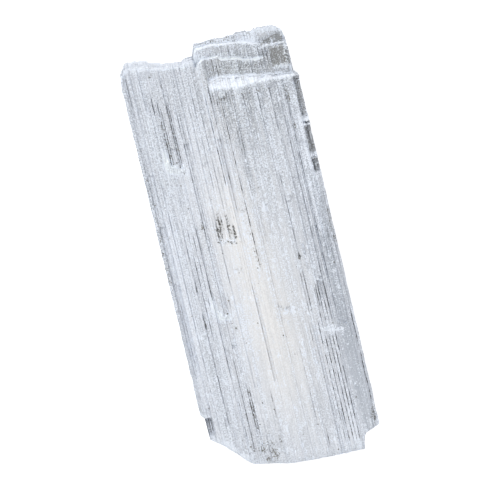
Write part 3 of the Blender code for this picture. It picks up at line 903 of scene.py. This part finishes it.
def look_of_end(end, across, row):
    """How far back one end is at a row and a place, then its surface values."""
    share, leaf, seam = ROWS[row]
    it = END_LEAVES[end, leaf]
    worn = worn_end(end, across, leaf)
    frost = it["frost"][int(np.searchsorted(it["breaks"], across))]
    dark = 0.0
    if seam:
        open_here = max(0.0, read_at(across, it["dark"], SIDE))
        worn = max(worn, worn_end(end, across, leaf + 1)) + it["seam"] * open_here
        dark = END_SEAM_DARK * open_here
    inwards = np.interp(share, *np.transpose(END_PROFILES[end])) + END_WEAR[end] * worn
    if end == 0:
        return inwards, surface_of(frost - dark, dark, milk=0.6)
    inwards -= across_line(TOP_BULGE, across) * (1 - share)
    # Painted shade: the upper end is painted less frosted and less milky than the front, and darker
    # towards its foot, where the softbox and the glowing table light it most
    milk = 0.4 + 0.12 * share
    if across < SLAB_EDGE:
        return inwards, surface_of(0.3 * frost - dark, 0.3 * dark, milk, clear=0.0, coarse=0.5)
    return inwards, surface_of(
        0.4 * frost - dark, 0.6 * dark + 0.1, milk - 0.08, clear=0.15, coarse=1.2
    )


def splintered(fibres):
    """How far back each fibre of one leaf stands: splinters of a few fibres together."""
    length = SHAPES.uniform(0, SPLINTER, fibres)
    starts = SHAPES.random(fibres) < 1 / SPLINTERS
    starts[0] = True
    together = length[np.flatnonzero(starts)][np.cumsum(starts) - 1]
    return together + SHAPES.uniform(0, HACKLE, fibres)


def fibre_ends(fibres):
    """How much shorter each fibre is at each end and leaf, and how its leaves rise."""
    ends = {}
    knots = np.arange(0, fibres + END_RISE_EVERY + 1, END_RISE_EVERY)
    rise = np.interp(np.arange(fibres), knots, either_way(END_RISE, len(knots)))
    for fibre in range(fibres):
        ends["rise", fibre] = rise[fibre] + either_way(FIBRE_RISE)
    for end in (0, 1):
        own = SHAPES.uniform(0, FIBRE_END, fibres)
        for leaf in range(LEAVES):
            for fibre, length in enumerate(own + splintered(fibres)):
                ends[end, fibre, leaf] = length
    return ends


def blade_skin():
    """Points, faces and surface values of the blade's whole closed skin."""
    columns = whole_front()
    last_column, last_station = len(columns) - 1, len(columns[0]["along"]) - 1
    last_row = len(ROWS) - 1
    column_group = [
        c + last_column if c % 3 == 2 and it["seam"] in BACK_SEAMS else c // 3
        for c, it in enumerate(columns)
    ]
    column_group[0], column_group[-1] = -1, last_column
    station_group = [s // 2 for s in range(last_station + 1)]
    station_group[0], station_group[-1] = -1, last_station
    ends = fibre_ends(last_column // 3 + 1)
    places, points, values = {}, [], []

    def place(column, station, row):
        if row == 0:
            key = (column_group[column], station_group[station], 0)
        else:
            key = (column, station, row)
        if key in places:
            return places[key]
        it = columns[column]
        across, along = it["across"][station], it["along"][station]
        front = it["height"][station]
        share, leaf, _ = ROWS[row]
        look = [it[name][station] for name in SURFACE]
        at_side = column in (0, last_column)
        if station in (0, last_station) and row < last_row:
            end = int(station > 0)
            inwards, look = look_of_end(end, across, row)
            inwards += ends[end, column // 3, leaf] + SEAM_END * (column % 3 == 2)
            along += -inwards if end else inwards
            share += 4 * share * (1 - share) * ends["rise", column // 3]
        if at_side and row < last_row:
            look = look_of_side(-1 if column == 0 else 1, along, row)
        back = back_height(across, along)
        if row == 0 and not at_side:
            seam = BACK_SEAMS.get(it["seam"], 0.0) * (column % 3 == 2)
            seam *= SHAPES.uniform(*BACK_OPEN)
            back += seam + SHAPES.uniform(0, BACK_GRAIN)
            frost, milk = SHAPES.normal(*BACK_FROST), SHAPES.normal(*BACK_MILK)
            look = surface_of(frost - seam, BACK_DARK * seam, milk)
        places[key] = len(points)
        points.append((
            float(worn_across(across, along, row)), along, back + (front - back) * share,
        ))
        values.append(look)
        return places[key]

    faces = []

    def cover(corner, first, second, outwards):
        for a in range(first):
            for b in range(second):
                ring = [corner(a, b), corner(a + 1, b), corner(a + 1, b + 1), corner(a, b + 1)]
                ring = [v for n, v in enumerate(ring) if v != ring[n - 1]]
                if len(set(ring)) > 2:
                    faces.append(ring if outwards else ring[::-1])

    cover(lambda a, b: place(a, b, last_row), last_column, last_station, True)
    cover(lambda a, b: place(a, b, 0), last_column, last_station, False)
    cover(lambda a, b: place(0, a, b), last_station, last_row, False)
    cover(lambda a, b: place(last_column, a, b), last_station, last_row, True)
    cover(lambda a, b: place(a, 0, b), last_column, last_row, True)
    cover(lambda a, b: place(a, last_station, b), last_column, last_row, False)
    return np.array(points), faces, np.array(values)


def blade_mesh():
    """The blade's mesh, in metres, fitted to the frame's box, with its surface values."""
    points, faces, values = blade_skin()
    low, high = points.min(axis=0), points.max(axis=0)
    points[:, 0] = blade_low.x + (points[:, 0] - low[0]) * 2 * SIDE / (high[0] - low[0])
    points[:, 2] = (points[:, 2] - low[2]) * HEIGHT / (high[2] - low[2])
    mesh = bpy.data.meshes.new("selenite")
    mesh.from_pydata((points * MM).tolist(), [], faces)
    for name, column in zip(SURFACE, values.T):
        layer = mesh.attributes.new(name, "FLOAT", "POINT")
        layer.data.foreach_set("value", column.astype(np.float32))
    mesh.shade_smooth()
    mesh.set_sharp_from_angle(angle=SHARP_FROM)
    return mesh


def set_out(name, data):
    """Puts a mesh, light or camera into the scene as an object."""
    made = bpy.data.objects.new(name, data)
    bpy.context.scene.collection.objects.link(made)
    return made


blade = set_out("selenite", blade_mesh())


def placed(tree, kind, inputs, **settings):
    """Adds a node; each input is a value, or another node's socket to link from."""
    made = tree.nodes.new(kind)
    for name, value in settings.items():
        setattr(made, name, value)
    for key, value in inputs.items():
        if isinstance(value, bpy.types.NodeSocket):
            tree.links.new(value, made.inputs[key])
        else:
            made.inputs[key].default_value = value
    return made


def node_group(name, inputs, outputs):
    """An empty shader node group with float inputs and outputs, and its two end nodes."""
    group = bpy.data.node_groups.new(name, "ShaderNodeTree")
    for label, value in inputs.items():
        group.interface.new_socket(label, in_out="INPUT", socket_type="NodeSocketFloat")
        group.interface.items_tree[label].default_value = value
    for label in outputs:
        group.interface.new_socket(label, in_out="OUTPUT", socket_type="NodeSocketFloat")
    return group, group.nodes.new("NodeGroupInput"), group.nodes.new("NodeGroupOutput")


def grouped(tree, group, **values):
    """A group node with the values given for its named inputs."""
    made = tree.nodes.new("ShaderNodeGroup")
    made.node_tree = group
    for name, value in values.items():
        made.inputs[name].default_value = value
    return made.outputs[0]


def maths(tree, operation, first, second, third=0.0, clamp=False):
    """One Math node's result."""
    return placed(
        tree, "ShaderNodeMath", {0: first, 1: second, 2: third},
        operation=operation, use_clamp=clamp,
    ).outputs[0]


def between(tree, value, low, high):
    """0 below the low value, 1 above the high one, and smooth in between."""
    return placed(tree, "ShaderNodeMapRange", {
        "Value": value, "From Min": low, "From Max": high,
    }, interpolation_type="SMOOTHSTEP").outputs["Result"]


def blended(tree, amount, first, second):
    """A mix of two colours."""
    mix = placed(tree, "ShaderNodeMix", {0: amount, 6: first, 7: second}, data_type="RGBA")
    return mix.outputs[2]


def new_material(name):
    """A new material, its node tree and its shader."""
    made = bpy.data.materials.new(name)
    made.use_nodes = True
    return made, made.node_tree, made.node_tree.nodes["Principled BSDF"]


def dressed(tree, shader, colour, roughness, height, depth):
    """Feeds a shader its colour, its roughness and a bump of so many millimetres."""
    bump = placed(tree, "ShaderNodeBump", {
        "Height": height, "Distance": depth * MM, "Strength": 1.0,
    })
    tree.links.new(colour, shader.inputs["Base Color"])
    tree.links.new(roughness, shader.inputs["Roughness"])
    tree.links.new(bump.outputs["Normal"], shader.inputs["Normal"])


def noise_in(group, entry, leave, inputs, **settings):
    """Fills a group with one noise, its contrast stretched about the middle."""
    noise = placed(group, "ShaderNodeTexNoise", {**inputs, "Detail": 2.0}, **settings)
    low = maths(group, "SUBTRACT", 0.5, entry.outputs["Contrast"])
    high = maths(group, "ADD", 0.5, entry.outputs["Contrast"])
    spread = placed(group, "ShaderNodeMapRange", {
        "Value": noise.outputs["Fac"], "From Min": low, "From Max": high,
    })
    group.links.new(spread.outputs["Result"], leave.inputs[0])
    return group


def streaks_group():
    """Streaks that run along the fibres, so many millimetres wide and long."""
    group, entry, leave = node_group(
        "fibre_streaks", {"Width": 0.3, "Length": 6.0, "Place": 0.0, "Contrast": 0.3}, ["Streak"]
    )
    place = placed(group, "ShaderNodeTexCoord", {})
    across = maths(group, "DIVIDE", 1 / MM, entry.outputs["Width"])
    along = maths(group, "DIVIDE", 1 / MM, entry.outputs["Length"])
    scale = placed(group, "ShaderNodeCombineXYZ", {"X": across, "Y": along, "Z": across})
    stretched = placed(
        group, "ShaderNodeVectorMath", {0: place.outputs["Object"], 1: scale.outputs[0]},
        operation="MULTIPLY",
    )
    return noise_in(group, entry, leave, {
        "Vector": stretched.outputs[0], "W": entry.outputs["Place"], "Scale": 1.0,
        "Roughness": 0.6,
    }, noise_dimensions="4D")


def grain_group():
    """The fine grain of frosted gypsum, even in all directions."""
    group, entry, leave = node_group("frost_grain", {"Size": 0.3, "Contrast": 0.2}, ["Grain"])
    place = placed(group, "ShaderNodeTexCoord", {})
    scale = maths(group, "DIVIDE", 1 / MM, entry.outputs["Size"])
    return noise_in(group, entry, leave, {
        "Vector": place.outputs["Object"], "Scale": scale, "Roughness": 0.65,
    })


fibre_streaks = streaks_group()
frost_grain = grain_group()

# Grey-blue crystal, milk white where it is cloudy, snow white where it is bruised, and dark
# grey where one sees down into a clear lath. The seam and pit colours are painted shade,
# down in open seams, hollows and pits, and the spark white also paints glints.
CRYSTAL_GREY = (0.363, 0.396, 0.448, 1)
CLOUD_WHITE = (0.825, 0.819, 0.813, 1)
FROST_WHITE = (0.783, 0.816, 0.882, 1)
CLEAR_GREY = (0.24, 0.24, 0.234, 1)
SEAM_SHADE = (0.113, 0.109, 0.095, 1)
PIT_SHADE = (0.207, 0.198, 0.18, 1)
SNOW_WHITE = (0.82, 0.87, 0.95, 1)
SPARK_WHITE = (0.91, 0.96, 0.995, 1)
GYPSUM_IOR = 1.52
LIGHT_THROUGH = 0.2

# At what sum of its pattern and surface value a mark starts to show, and is full
PIT_EDGE = (0.86, 1.04)
SEAM_EDGE = (0.2, 0.62)
BRUISE_EDGE = (0.62, 1.02)
GLARE_EDGE = (1.3, 1.9)
GLINT_EDGE = (0.92, 1.1)

selenite, tree, shader = new_material("frosted_selenite")
surface = {
    name: placed(tree, "ShaderNodeAttribute", {}, attribute_name=name).outputs["Fac"]
    for name in SURFACE
}
fine = grouped(tree, fibre_streaks, Width=0.4, Length=5.0, Place=1.0, Contrast=0.15)
broad = grouped(tree, fibre_streaks, Width=1.4, Length=30.0, Place=4.0, Contrast=0.22)
dashes = grouped(tree, fibre_streaks, Width=0.22, Length=2.4, Place=9.0, Contrast=0.18)
dots = grouped(tree, fibre_streaks, Width=0.45, Length=0.5, Place=7.0, Contrast=0.08)
patches = grouped(tree, fibre_streaks, Width=1.1, Length=4.5, Place=2.0, Contrast=0.25)
grain = grouped(tree, frost_grain, Size=0.36, Contrast=0.13)
pits = grouped(tree, fibre_streaks, Width=0.3, Length=0.42, Place=12.0, Contrast=0.25)
glint_noise = grouped(tree, fibre_streaks, Width=0.3, Length=0.4, Place=15.0, Contrast=0.25)

# Milk, mottled by the grain and the streaks
mottle = 0.0
for pattern, amount in ((fine, 0.26), (broad, 0.12), (grain, 0.5)):
    mottle = maths(tree, "MULTIPLY_ADD", pattern, amount, mottle)
mottle = maths(tree, "SUBTRACT", mottle, 0.44)
milk = maths(tree, "MULTIPLY_ADD", mottle, surface["coarse"], surface["milk"], clamp=True)
white = blended(tree, surface["warm"], FROST_WHITE, CLOUD_WHITE)
body = blended(tree, milk, CRYSTAL_GREY, white)

# Clear crystal with cloudy dashes in it, and painted shade of small pits in the coarse grain
glass = maths(tree, "ADD", surface["clear"], 0.4)
glass = maths(tree, "MULTIPLY_ADD", dashes, -0.8, glass, clamp=True)
glass = maths(tree, "MULTIPLY", glass, surface["clear"], clamp=True)
pit = maths(tree, "MULTIPLY_ADD", surface["coarse"], 0.12, pits)
pit = maths(tree, "MULTIPLY", between(tree, pit, *PIT_EDGE), 0.65)

# Painted shade in open seams and at the shaded places, dotted where they are shallow
seam = maths(tree, "MULTIPLY_ADD", dots, 1.15, 0.3)
seam = between(tree, maths(tree, "MULTIPLY", seam, surface["dark"]), *SEAM_EDGE)

# White bruises, their brightest rims painted as glare, and painted glints: sparks of white
# strewn by a noise over the coarse grain, where facets would catch the light
speckle = maths(tree, "MULTIPLY_ADD", patches, 0.25, 0.02)
speckle = maths(tree, "MULTIPLY_ADD", grain, 0.62, speckle)
frosted = maths(tree, "ADD", surface["frost"], speckle)
bruise = between(tree, frosted, *BRUISE_EDGE)
glare = between(tree, frosted, *GLARE_EDGE)
painted_glint = maths(tree, "MULTIPLY_ADD", surface["coarse"], 0.16, glint_noise)
painted_glint = between(tree, painted_glint, *GLINT_EDGE)

# Each mark covers those before it, and all of them cover the milk
for mark, colour in (
    (glass, CLEAR_GREY), (pit, PIT_SHADE), (seam, SEAM_SHADE), (bruise, SNOW_WHITE),
    (glare, SPARK_WHITE), (painted_glint, SPARK_WHITE),
):
    body = blended(tree, mark, body, colour)

# Bruises are the most matt, and coarse grain the roughest
matt = maths(tree, "MULTIPLY_ADD", grain, 0.25, 0.33)
matt = maths(tree, "MULTIPLY_ADD", bruise, 0.3, matt, clamp=True)
relief = maths(tree, "MULTIPLY_ADD", fine, 0.4, maths(tree, "MULTIPLY", grain, 0.6))
relief = maths(tree, "MULTIPLY", relief, surface["coarse"])
dressed(tree, shader, body, matt, relief, 0.1)
shader.inputs["IOR"].default_value = GYPSUM_IOR
shader.inputs["Transmission Weight"].default_value = LIGHT_THROUGH
blade.data.materials.append(selenite)

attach(blade, "root")
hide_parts("selenite_blade")

# Crumbs and splinters
# Broken bits of the same crystal that cling to it: angular crumbs on the ledges and
# rims, and needles that have sprung up along the fibres. They are fast at their roots.
GOUGE_RIM = [(-17.6, 33.5), (-17.2, 31), (-16.6, 29.2), (-14.6, 27.8), (-12.4, 27.3)]
SCAR_RIM = [(-13.9, -6), (-13.3, -11), (-12.4, -14.2), (-11.2, -15.4), (-9.8, -14.6)]

# Crumbs along a line: from and to across the blade, below and above it, how many, sizes
CRUMB_LINES = [
    (LEDGE_FRONT, PLATE_EDGE, SIDE - 1.5, -0.9, 0.2, 170, (0.12, 0.36)),
    (LEDGE_BACK, 2, SIDE - 1.5, -0.3, 0.2, 90, (0.1, 0.28)),
    (CRACK_FRONT, -3, 16, -0.3, 0.5, 120, (0.1, 0.3)),
    (LIP_FRONT, -3, 21, -0.6, 0.9, 60, (0.1, 0.3)),
    (TOP_END, -22, 22, -1.2, -0.15, 160, (0.1, 0.28)),
    (BOTTOM_END, -22, 22, 0.1, 1.2, 90, (0.1, 0.25)),
    (GOUGE_RIM, -17.6, -12.4, -0.5, 0.5, 110, (0.16, 0.46)),
    (SCAR_RIM, -13.9, -9.8, -0.35, 0.35, 90, (0.14, 0.4)),
]

# Crumbs in a patch: across, along, reach of each, how many, sizes
CRUMB_PATCHES = [
    (-15.5, 29, 1.8, 1.4, 30, (0.1, 0.3)), (-6, 5.6, 2.2, 0.7, 26, (0.1, 0.3)),
    (-11.6, -14.6, 1.6, 1, 26, (0.1, 0.3)), (20, 49.6, 2, 0.6, 44, (0.15, 0.45)),
    (21.9, 53, 0.5, 3.4, 40, (0.15, 0.45)), (17.2, -24.4, 2.4, 0.4, 30, (0.12, 0.35)),
    (-7.4, -53.8, 2.4, 2, 40, (0.1, 0.3)), (-22.2, -44, 1, 2.4, 16, (0.1, 0.3)),
    (23.3, 33.6, 0.7, 0.2, 22, (0.3, 0.55)), (23.3, 32.4, 0.7, 0.12, 12, (0.25, 0.4)),
    (23.3, 22.7, 0.7, 0.3, 26, (0.3, 0.55)), (23.3, 20.8, 0.7, 0.15, 14, (0.25, 0.45)),
    (19, 55.6, 3.2, 0.25, 50, (0.15, 0.4)), (6.5, 45.3, 0.5, 1.1, 26, (0.15, 0.4)),
    (22.3, 57.9, 0.5, 0.8, 24, (0.2, 0.5)), (22.2, 54.4, 0.5, 0.9, 24, (0.2, 0.5)),
    (2.2, 45.9, 0.7, 0.6, 20, (0.15, 0.4)), (0, 0, 22, 54, 700, (0.1, 0.28)),
]

# How many needles there are, where they lie and how they are shaped, then the crumbs
NEEDLES_IN_FRONT = 620
NEEDLES_AT_SIDE = 240
NEEDLES_ALONG = (-40, 56)
NEEDLES_UP = (1.5, HEIGHT - 1.5)
NEEDLE_LENGTH = (0.8, 4.5)
NEEDLE_WIDTH = (0.07, 0.2)
NEEDLE_SPRING = 0.05
NEEDLE_DRIFT = 0.04
NEEDLE_WIDEST = 0.3
NEEDLE_ROOT = 0.25
CRUMB_PROUD = 0.15
CRUMB_HALF = (0.3, 0.6)
CRUMB_CORNER = (0.55, 1.1)
ANY_TURN = (0, 6.3)

# From how far off the skin is looked for, and how much it has to face that way
ABOVE_ALL = 40
BESIDE_ALL = 60
FACING_UP = 0.2
FACING_OUT = 0.4
clinging = random.Random(53)
skin = BVHTree.FromPolygons(
    [vertex.co / MM for vertex in blade.data.vertices],
    [polygon.vertices for polygon in blade.data.polygons],
)


def on_front(across, along):
    """The place and the normal of the front under one point, or nothing off the blade."""
    start = Vector((across, along, ABOVE_ALL))
    place, normal, *_ = skin.ray_cast(start, Vector((0, 0, -1)))
    return (place, normal) if place and normal.z > FACING_UP else None


def on_side(hand, along, height):
    """The place and the normal of one side, or nothing off the blade."""
    start = Vector((hand * BESIDE_ALL, along, height))
    place, normal, *_ = skin.ray_cast(start, Vector((-hand, 0, 0)))
    return (place, normal) if place and abs(normal.x) > FACING_OUT else None


def crumb(where, size, proud=CRUMB_PROUD):
    """Corners and faces of an angular crumb, its middle so much of its size above the skin."""
    place, normal = where
    turn = Matrix.Rotation(clinging.uniform(*ANY_TURN), 3, "Z")
    turn = turn @ Matrix.Rotation(clinging.uniform(*ANY_TURN), 3, "X")
    half = [size * clinging.uniform(*CRUMB_HALF) for _ in range(3)]
    middle = place + normal * size * proud
    corners = []
    for z in (-1, 1):
        for x, y in ((-1, -1), (1, -1), (1, 1), (-1, 1)):
            uneven = [clinging.uniform(*CRUMB_CORNER) for _ in half]
            corner = [sign * h * u for sign, h, u in zip((x, y, z), half, uneven)]
            corners.append(middle + turn @ Vector(corner))
    sides = [(a, (a + 1) % 4, (a + 1) % 4 + 4, a + 4) for a in range(4)]
    return corners, [(3, 2, 1, 0), (4, 5, 6, 7), *sides]


def needle(where, length, width):
    """Corners and faces of a needle along the fibres, with one end a little sprung."""
    place, normal = where
    along = Vector((clinging.uniform(-NEEDLE_DRIFT, NEEDLE_DRIFT), 1, 0))
    along = (along - normal * along.dot(normal)).normalized()
    beside = along.cross(normal)
    spring = clinging.uniform(0, NEEDLE_SPRING) * clinging.choice((-1, 1))
    root = place - normal * width * NEEDLE_ROOT
    corners = []
    for share in (-0.5, clinging.uniform(-NEEDLE_WIDEST, NEEDLE_WIDEST), 0.5):
        lift = abs(spring) * length * (0.5 + share * (1 if spring > 0 else -1))
        at = root + along * share * length + normal * lift
        if abs(share) == 0.5:
            corners.append(at)
        else:
            ring = ((beside, 1), (normal, 1), (beside, -1), (normal, -1))
            corners += [at + axis * sign * width / 2 for axis, sign in ring]
    sides = [(0, (a + 1) % 4 + 1, a + 1) for a in range(4)]
    return corners, sides + [(5, a + 1, (a + 1) % 4 + 1) for a in range(4)]


def clinging_bits():
    """Corners and faces of every crumb and needle."""
    bits = []
    for line, left, right, below, above, count, sizes in CRUMB_LINES:
        for _ in range(count):
            across = clinging.uniform(left, right)
            along = across_line(line, across) + clinging.uniform(below, above)
            bits.append((crumb, on_front(across, along), (clinging.uniform(*sizes),)))
    for across, along, reach_across, reach_along, count, sizes in CRUMB_PATCHES:
        for _ in range(count):
            where = on_front(
                across + clinging.uniform(-reach_across, reach_across),
                along + clinging.uniform(-reach_along, reach_along),
            )
            bits.append((crumb, where, (clinging.uniform(*sizes),)))
    places = [
        on_front(clinging.uniform(-SIDE, SIDE), clinging.uniform(-END, END))
        for _ in range(NEEDLES_IN_FRONT)
    ]
    for hand in (-1, 1):
        places += [
            on_side(hand, clinging.uniform(*NEEDLES_ALONG), clinging.uniform(*NEEDLES_UP))
            for _ in range(NEEDLES_AT_SIDE)
        ]
    for where in places:
        size = (clinging.uniform(*NEEDLE_LENGTH), clinging.uniform(*NEEDLE_WIDTH))
        bits.append((needle, where, size))
    return [make(where, *size) for make, where, size in bits if where]


def piece_of(name, bits):
    """One object made of many small closed bits, each of them its corners and faces."""
    points, faces = [], []
    for corners, sides in bits:
        faces += [[corner + len(points) for corner in side] for side in sides]
        points += corners
    mesh = bpy.data.meshes.new(name)
    mesh.from_pydata([point * MM for point in points], [], faces)
    return set_out(name, mesh)


bits = piece_of("crumbs_and_splinters", clinging_bits())

chalky, tree, shader = new_material("broken_selenite")
chalk = grouped(tree, frost_grain, Size=0.5, Contrast=0.16)
lines = grouped(tree, fibre_streaks, Width=0.3, Length=1.5, Place=3.0, Contrast=0.2)
tint = maths(tree, "MULTIPLY_ADD", chalk, 0.6, maths(tree, "MULTIPLY", lines, 0.4))
colour = blended(tree, tint, FROST_WHITE, SPARK_WHITE)
dressed(tree, shader, colour, maths(tree, "MULTIPLY_ADD", chalk, 0.25, 0.3), chalk, 0.05)
shader.inputs["IOR"].default_value = GYPSUM_IOR
shader.inputs["Transmission Weight"].default_value = LIGHT_THROUGH
bits.data.materials.append(chalky)

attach(bits, "root")

# Clay specks and specks of painted shadow
# Grains of dark clay caught in the skin: single specks, short strings of them along a
# scratch, and a fine scatter over the whole front. They are sunk into the crystal. The
# strings along the foot of the ledge and just below the crack are dark specks put as
# painted shadow.

# Single specks: across, along, size. Strings: from, to, how many, sizes.
SPECKS = [
    (-12.8, -0.4, 0.5), (-4.4, -3.7, 0.35), (-3.3, 4.7, 0.5), (-10.1, -14.2, 0.5),
    (-8.8, -18.6, 0.55), (-7, -23.4, 0.4), (-2.6, -18.6, 0.35), (3.5, -23.6, 0.5), (-9, -10.6, 0.4),
    (21.8, -6.9, 0.5), (12.8, -2.4, 0.5), (12.9, -3.5, 0.55), (-12.8, 26.6, 0.5), (-15, 29.7, 0.5),
    (-14.1, 30, 0.4), (-14.5, 23.6, 0.45), (-14, 17, 0.5), (9.6, 20.4, 0.4), (6.2, 18.4, 0.35),
    (-11.3, 10.9, 0.55), (-6.4, -40.9, 0.4), (-3.6, -41, 0.4), (-3.7, -43.4, 0.4),
    (-11.6, -35, 0.5), (19.3, -45.3, 0.45), (7.2, -50.4, 0.4), (11.2, -58.6, 0.5),
    (17.7, -23.3, 0.4), (4.3, -13, 0.3), (-11.8, -53.7, 0.5), (-12.4, -52.4, 0.45),
    (12.6, -18.4, 0.4), (11.3, -30, 0.35), (-7.6, 2.7, 0.35), (-21.3, -39, 0.4), (0.9, -3.5, 0.3),
]
SPECK_STRINGS = [
    ((-10, -53.6), (-8.4, -54.6), 16, (0.2, 0.4)), ((-7.4, -54.5), (-5.4, -55.7), 26, (0.2, 0.42)),
    ((-9, -56.6), (-5.2, -56.6), 24, (0.2, 0.42)), ((-8.6, -52.2), (-5.6, -53.4), 18, (0.15, 0.3)),
    ((-8.8, -57.6), (-5, -57.6), 14, (0.15, 0.3)), ((-4.4, -50.8), (-3.6, -53), 8, (0.2, 0.32)),
    ((-8, 5.9), (-3, 4.9), 16, (0.2, 0.42)), ((1.6, -3), (1.6, 15.5), 14, (0.2, 0.32)),
    ((-7.6, 6.4), (-7.6, 11.2), 12, (0.2, 0.36)), ((-6.7, 6.4), (-6.7, 13.6), 12, (0.25, 0.4)),
    ((-3.2, 6), (-3.2, 9.6), 7, (0.25, 0.4)), ((-15.5, 29), (-15.7, 44), 26, (0.2, 0.4)),
    ((-13, 27), (-13.4, 46), 28, (0.2, 0.4)), ((-9.4, -50), (-9.5, -37), 26, (0.2, 0.4)),
    # Painted shadow: the two strings below run just under the crack, and the one after them along
    # the foot of the ledge
    ((5, 52.4), (15, 51), 14, (0.2, 0.36)), ((0, 53.5), (3, 51.5), 5, (0.2, 0.34)),
    ((1, 60.1), (9, 60), 26, (0.2, 0.4)), ((0, 44.6), (16, 44.6), 30, (0.2, 0.36)),
    ((-23.4, 28), (-23.4, -8), 30, (0.2, 0.36)), ((23.5, 46), (23.5, 20), 26, (0.2, 0.4)),
]

# How unevenly strings lie, how deep specks are sunk, and the scatter over the front
STRING_JITTER = 0.3
SPECK_PROUD = -0.16
SCATTERED = 90
SCATTERED_SIZE = (0.14, 0.3)
SCATTERED_ACROSS = (-22, 22)
SCATTERED_ALONG = (-56, 46)
SPECK_DARK = (0.11, 0.108, 0.1, 1)
SPECK_PALE = (0.3, 0.295, 0.28, 1)


def clay_and_shadow_specks():
    """Corners and faces of every speck: clay, and painted shadow under the ledge and the crack."""
    places = [(Vector(speck[:2]), speck[2]) for speck in SPECKS]
    for start, stop, count, sizes in SPECK_STRINGS:
        for _ in range(count):
            at = Vector(start).lerp(Vector(stop), clinging.random())
            at += Vector([clinging.gauss(0, STRING_JITTER) for _ in range(2)])
            places.append((at, clinging.uniform(*sizes)))
    for _ in range(SCATTERED):
        across, along = clinging.uniform(*SCATTERED_ACROSS), clinging.uniform(*SCATTERED_ALONG)
        places.append((Vector((across, along)), clinging.uniform(*SCATTERED_SIZE)))
    sunk = [(on_front(*at), size) for at, size in places]
    return [crumb(where, size, SPECK_PROUD) for where, size in sunk if where]


specks = piece_of("clay_and_shadow_specks", clay_and_shadow_specks())

speck_material, tree, shader = new_material("grey_clay_and_shadow")
clods = grouped(tree, frost_grain, Size=0.9, Contrast=0.2)
colour = blended(tree, clods, SPECK_DARK, SPECK_PALE)
dressed(tree, shader, colour, maths(tree, "MULTIPLY_ADD", clods, 0.2, 0.7), clods, 0.04)
specks.data.materials.append(speck_material)

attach(specks, "root")

# The floor
# The plain white table that the blade lies on. It reaches well beyond the view, and its
# paint glows a little, so that it looks as white as the picture's background.
FLOOR_REACH = 6.0
TABLE_WHITE = (0.85, 0.85, 0.85, 1)
TABLE_GLOW = 0.45
floor_mesh = bpy.data.meshes.new("floor")
floor_mesh.from_pydata(
    [(x * FLOOR_REACH, y * FLOOR_REACH, 0) for x, y in ((-1, -1), (1, -1), (1, 1), (-1, 1))],
    [], [(0, 1, 2, 3)],
)
floor = set_out("floor", floor_mesh)
paint, tree, shader = new_material("white_table")
shader.inputs["Base Color"].default_value = TABLE_WHITE
shader.inputs["Emission Color"].default_value = (1, 1, 1, 1)
shader.inputs["Emission Strength"].default_value = TABLE_GLOW
shader.inputs["Roughness"].default_value = 0.9
floor_mesh.materials.append(paint)

# The light
# An even white room, which lights the flat front, and one large soft light beyond the
# stepped end, which makes the faces that look that way the brightest.
ROOM_LIGHT = 0.93
SOFTBOX_WATTS = 15
SOFTBOX_SIZE = 0.9
SOFTBOX_PLACE = (-0.4, 1.2, 0.95)
world = bpy.data.worlds.new("studio")
bpy.context.scene.world = world
world.use_nodes = True
world.node_tree.nodes["Background"].inputs["Color"].default_value = (1, 1, 1, 1)
world.node_tree.nodes["Background"].inputs["Strength"].default_value = ROOM_LIGHT
softbox_data = bpy.data.lights.new("softbox", "AREA")
softbox_data.energy = SOFTBOX_WATTS
softbox_data.size = SOFTBOX_SIZE
softbox = set_out("softbox", softbox_data)
softbox.location = SOFTBOX_PLACE
softbox.rotation_euler = (-softbox.location).to_track_quat("-Z", "Y").to_euler()

# The camera
# It looks down on the blade from a little towards the stepped end, from far off through
# a long lens, and is rolled so that the blade leans to the left as in the picture.
FOCAL = 300.0
SENSOR = 36.0
MM_PER_PIXEL = 0.277
PIXELS = 480
TILT = math.radians(9.5)
ROLL = math.radians(13.35)
MIDDLE_PIXEL = (251.3, 255.2)
AIM_HEIGHT = 0.012
back = Vector((0, math.sin(TILT), math.cos(TILT)))
upright = Vector((0, math.cos(TILT), -math.sin(TILT)))
sideways = Vector((1, 0, 0))
up = upright * math.cos(ROLL) + sideways * math.sin(ROLL)
right = sideways * math.cos(ROLL) - upright * math.sin(ROLL)
distance = MM_PER_PIXEL * PIXELS * MM * FOCAL / SENSOR
aim = Vector((0, 0, AIM_HEIGHT))
off_x = (MIDDLE_PIXEL[0] - PIXELS / 2) * MM_PER_PIXEL * MM
off_y = (PIXELS / 2 - MIDDLE_PIXEL[1]) * MM_PER_PIXEL * MM
camera_data = bpy.data.cameras.new("camera")
camera_data.lens = FOCAL
camera_data.sensor_width = SENSOR
camera = set_out("camera", camera_data)
camera.matrix_world = Matrix.Translation(
    aim + back * distance - right * off_x - up * off_y
) @ Matrix((right, up, back)).transposed().to_4x4()
bpy.context.scene.camera = camera
bpy.context.scene.view_settings.view_transform = "Standard"
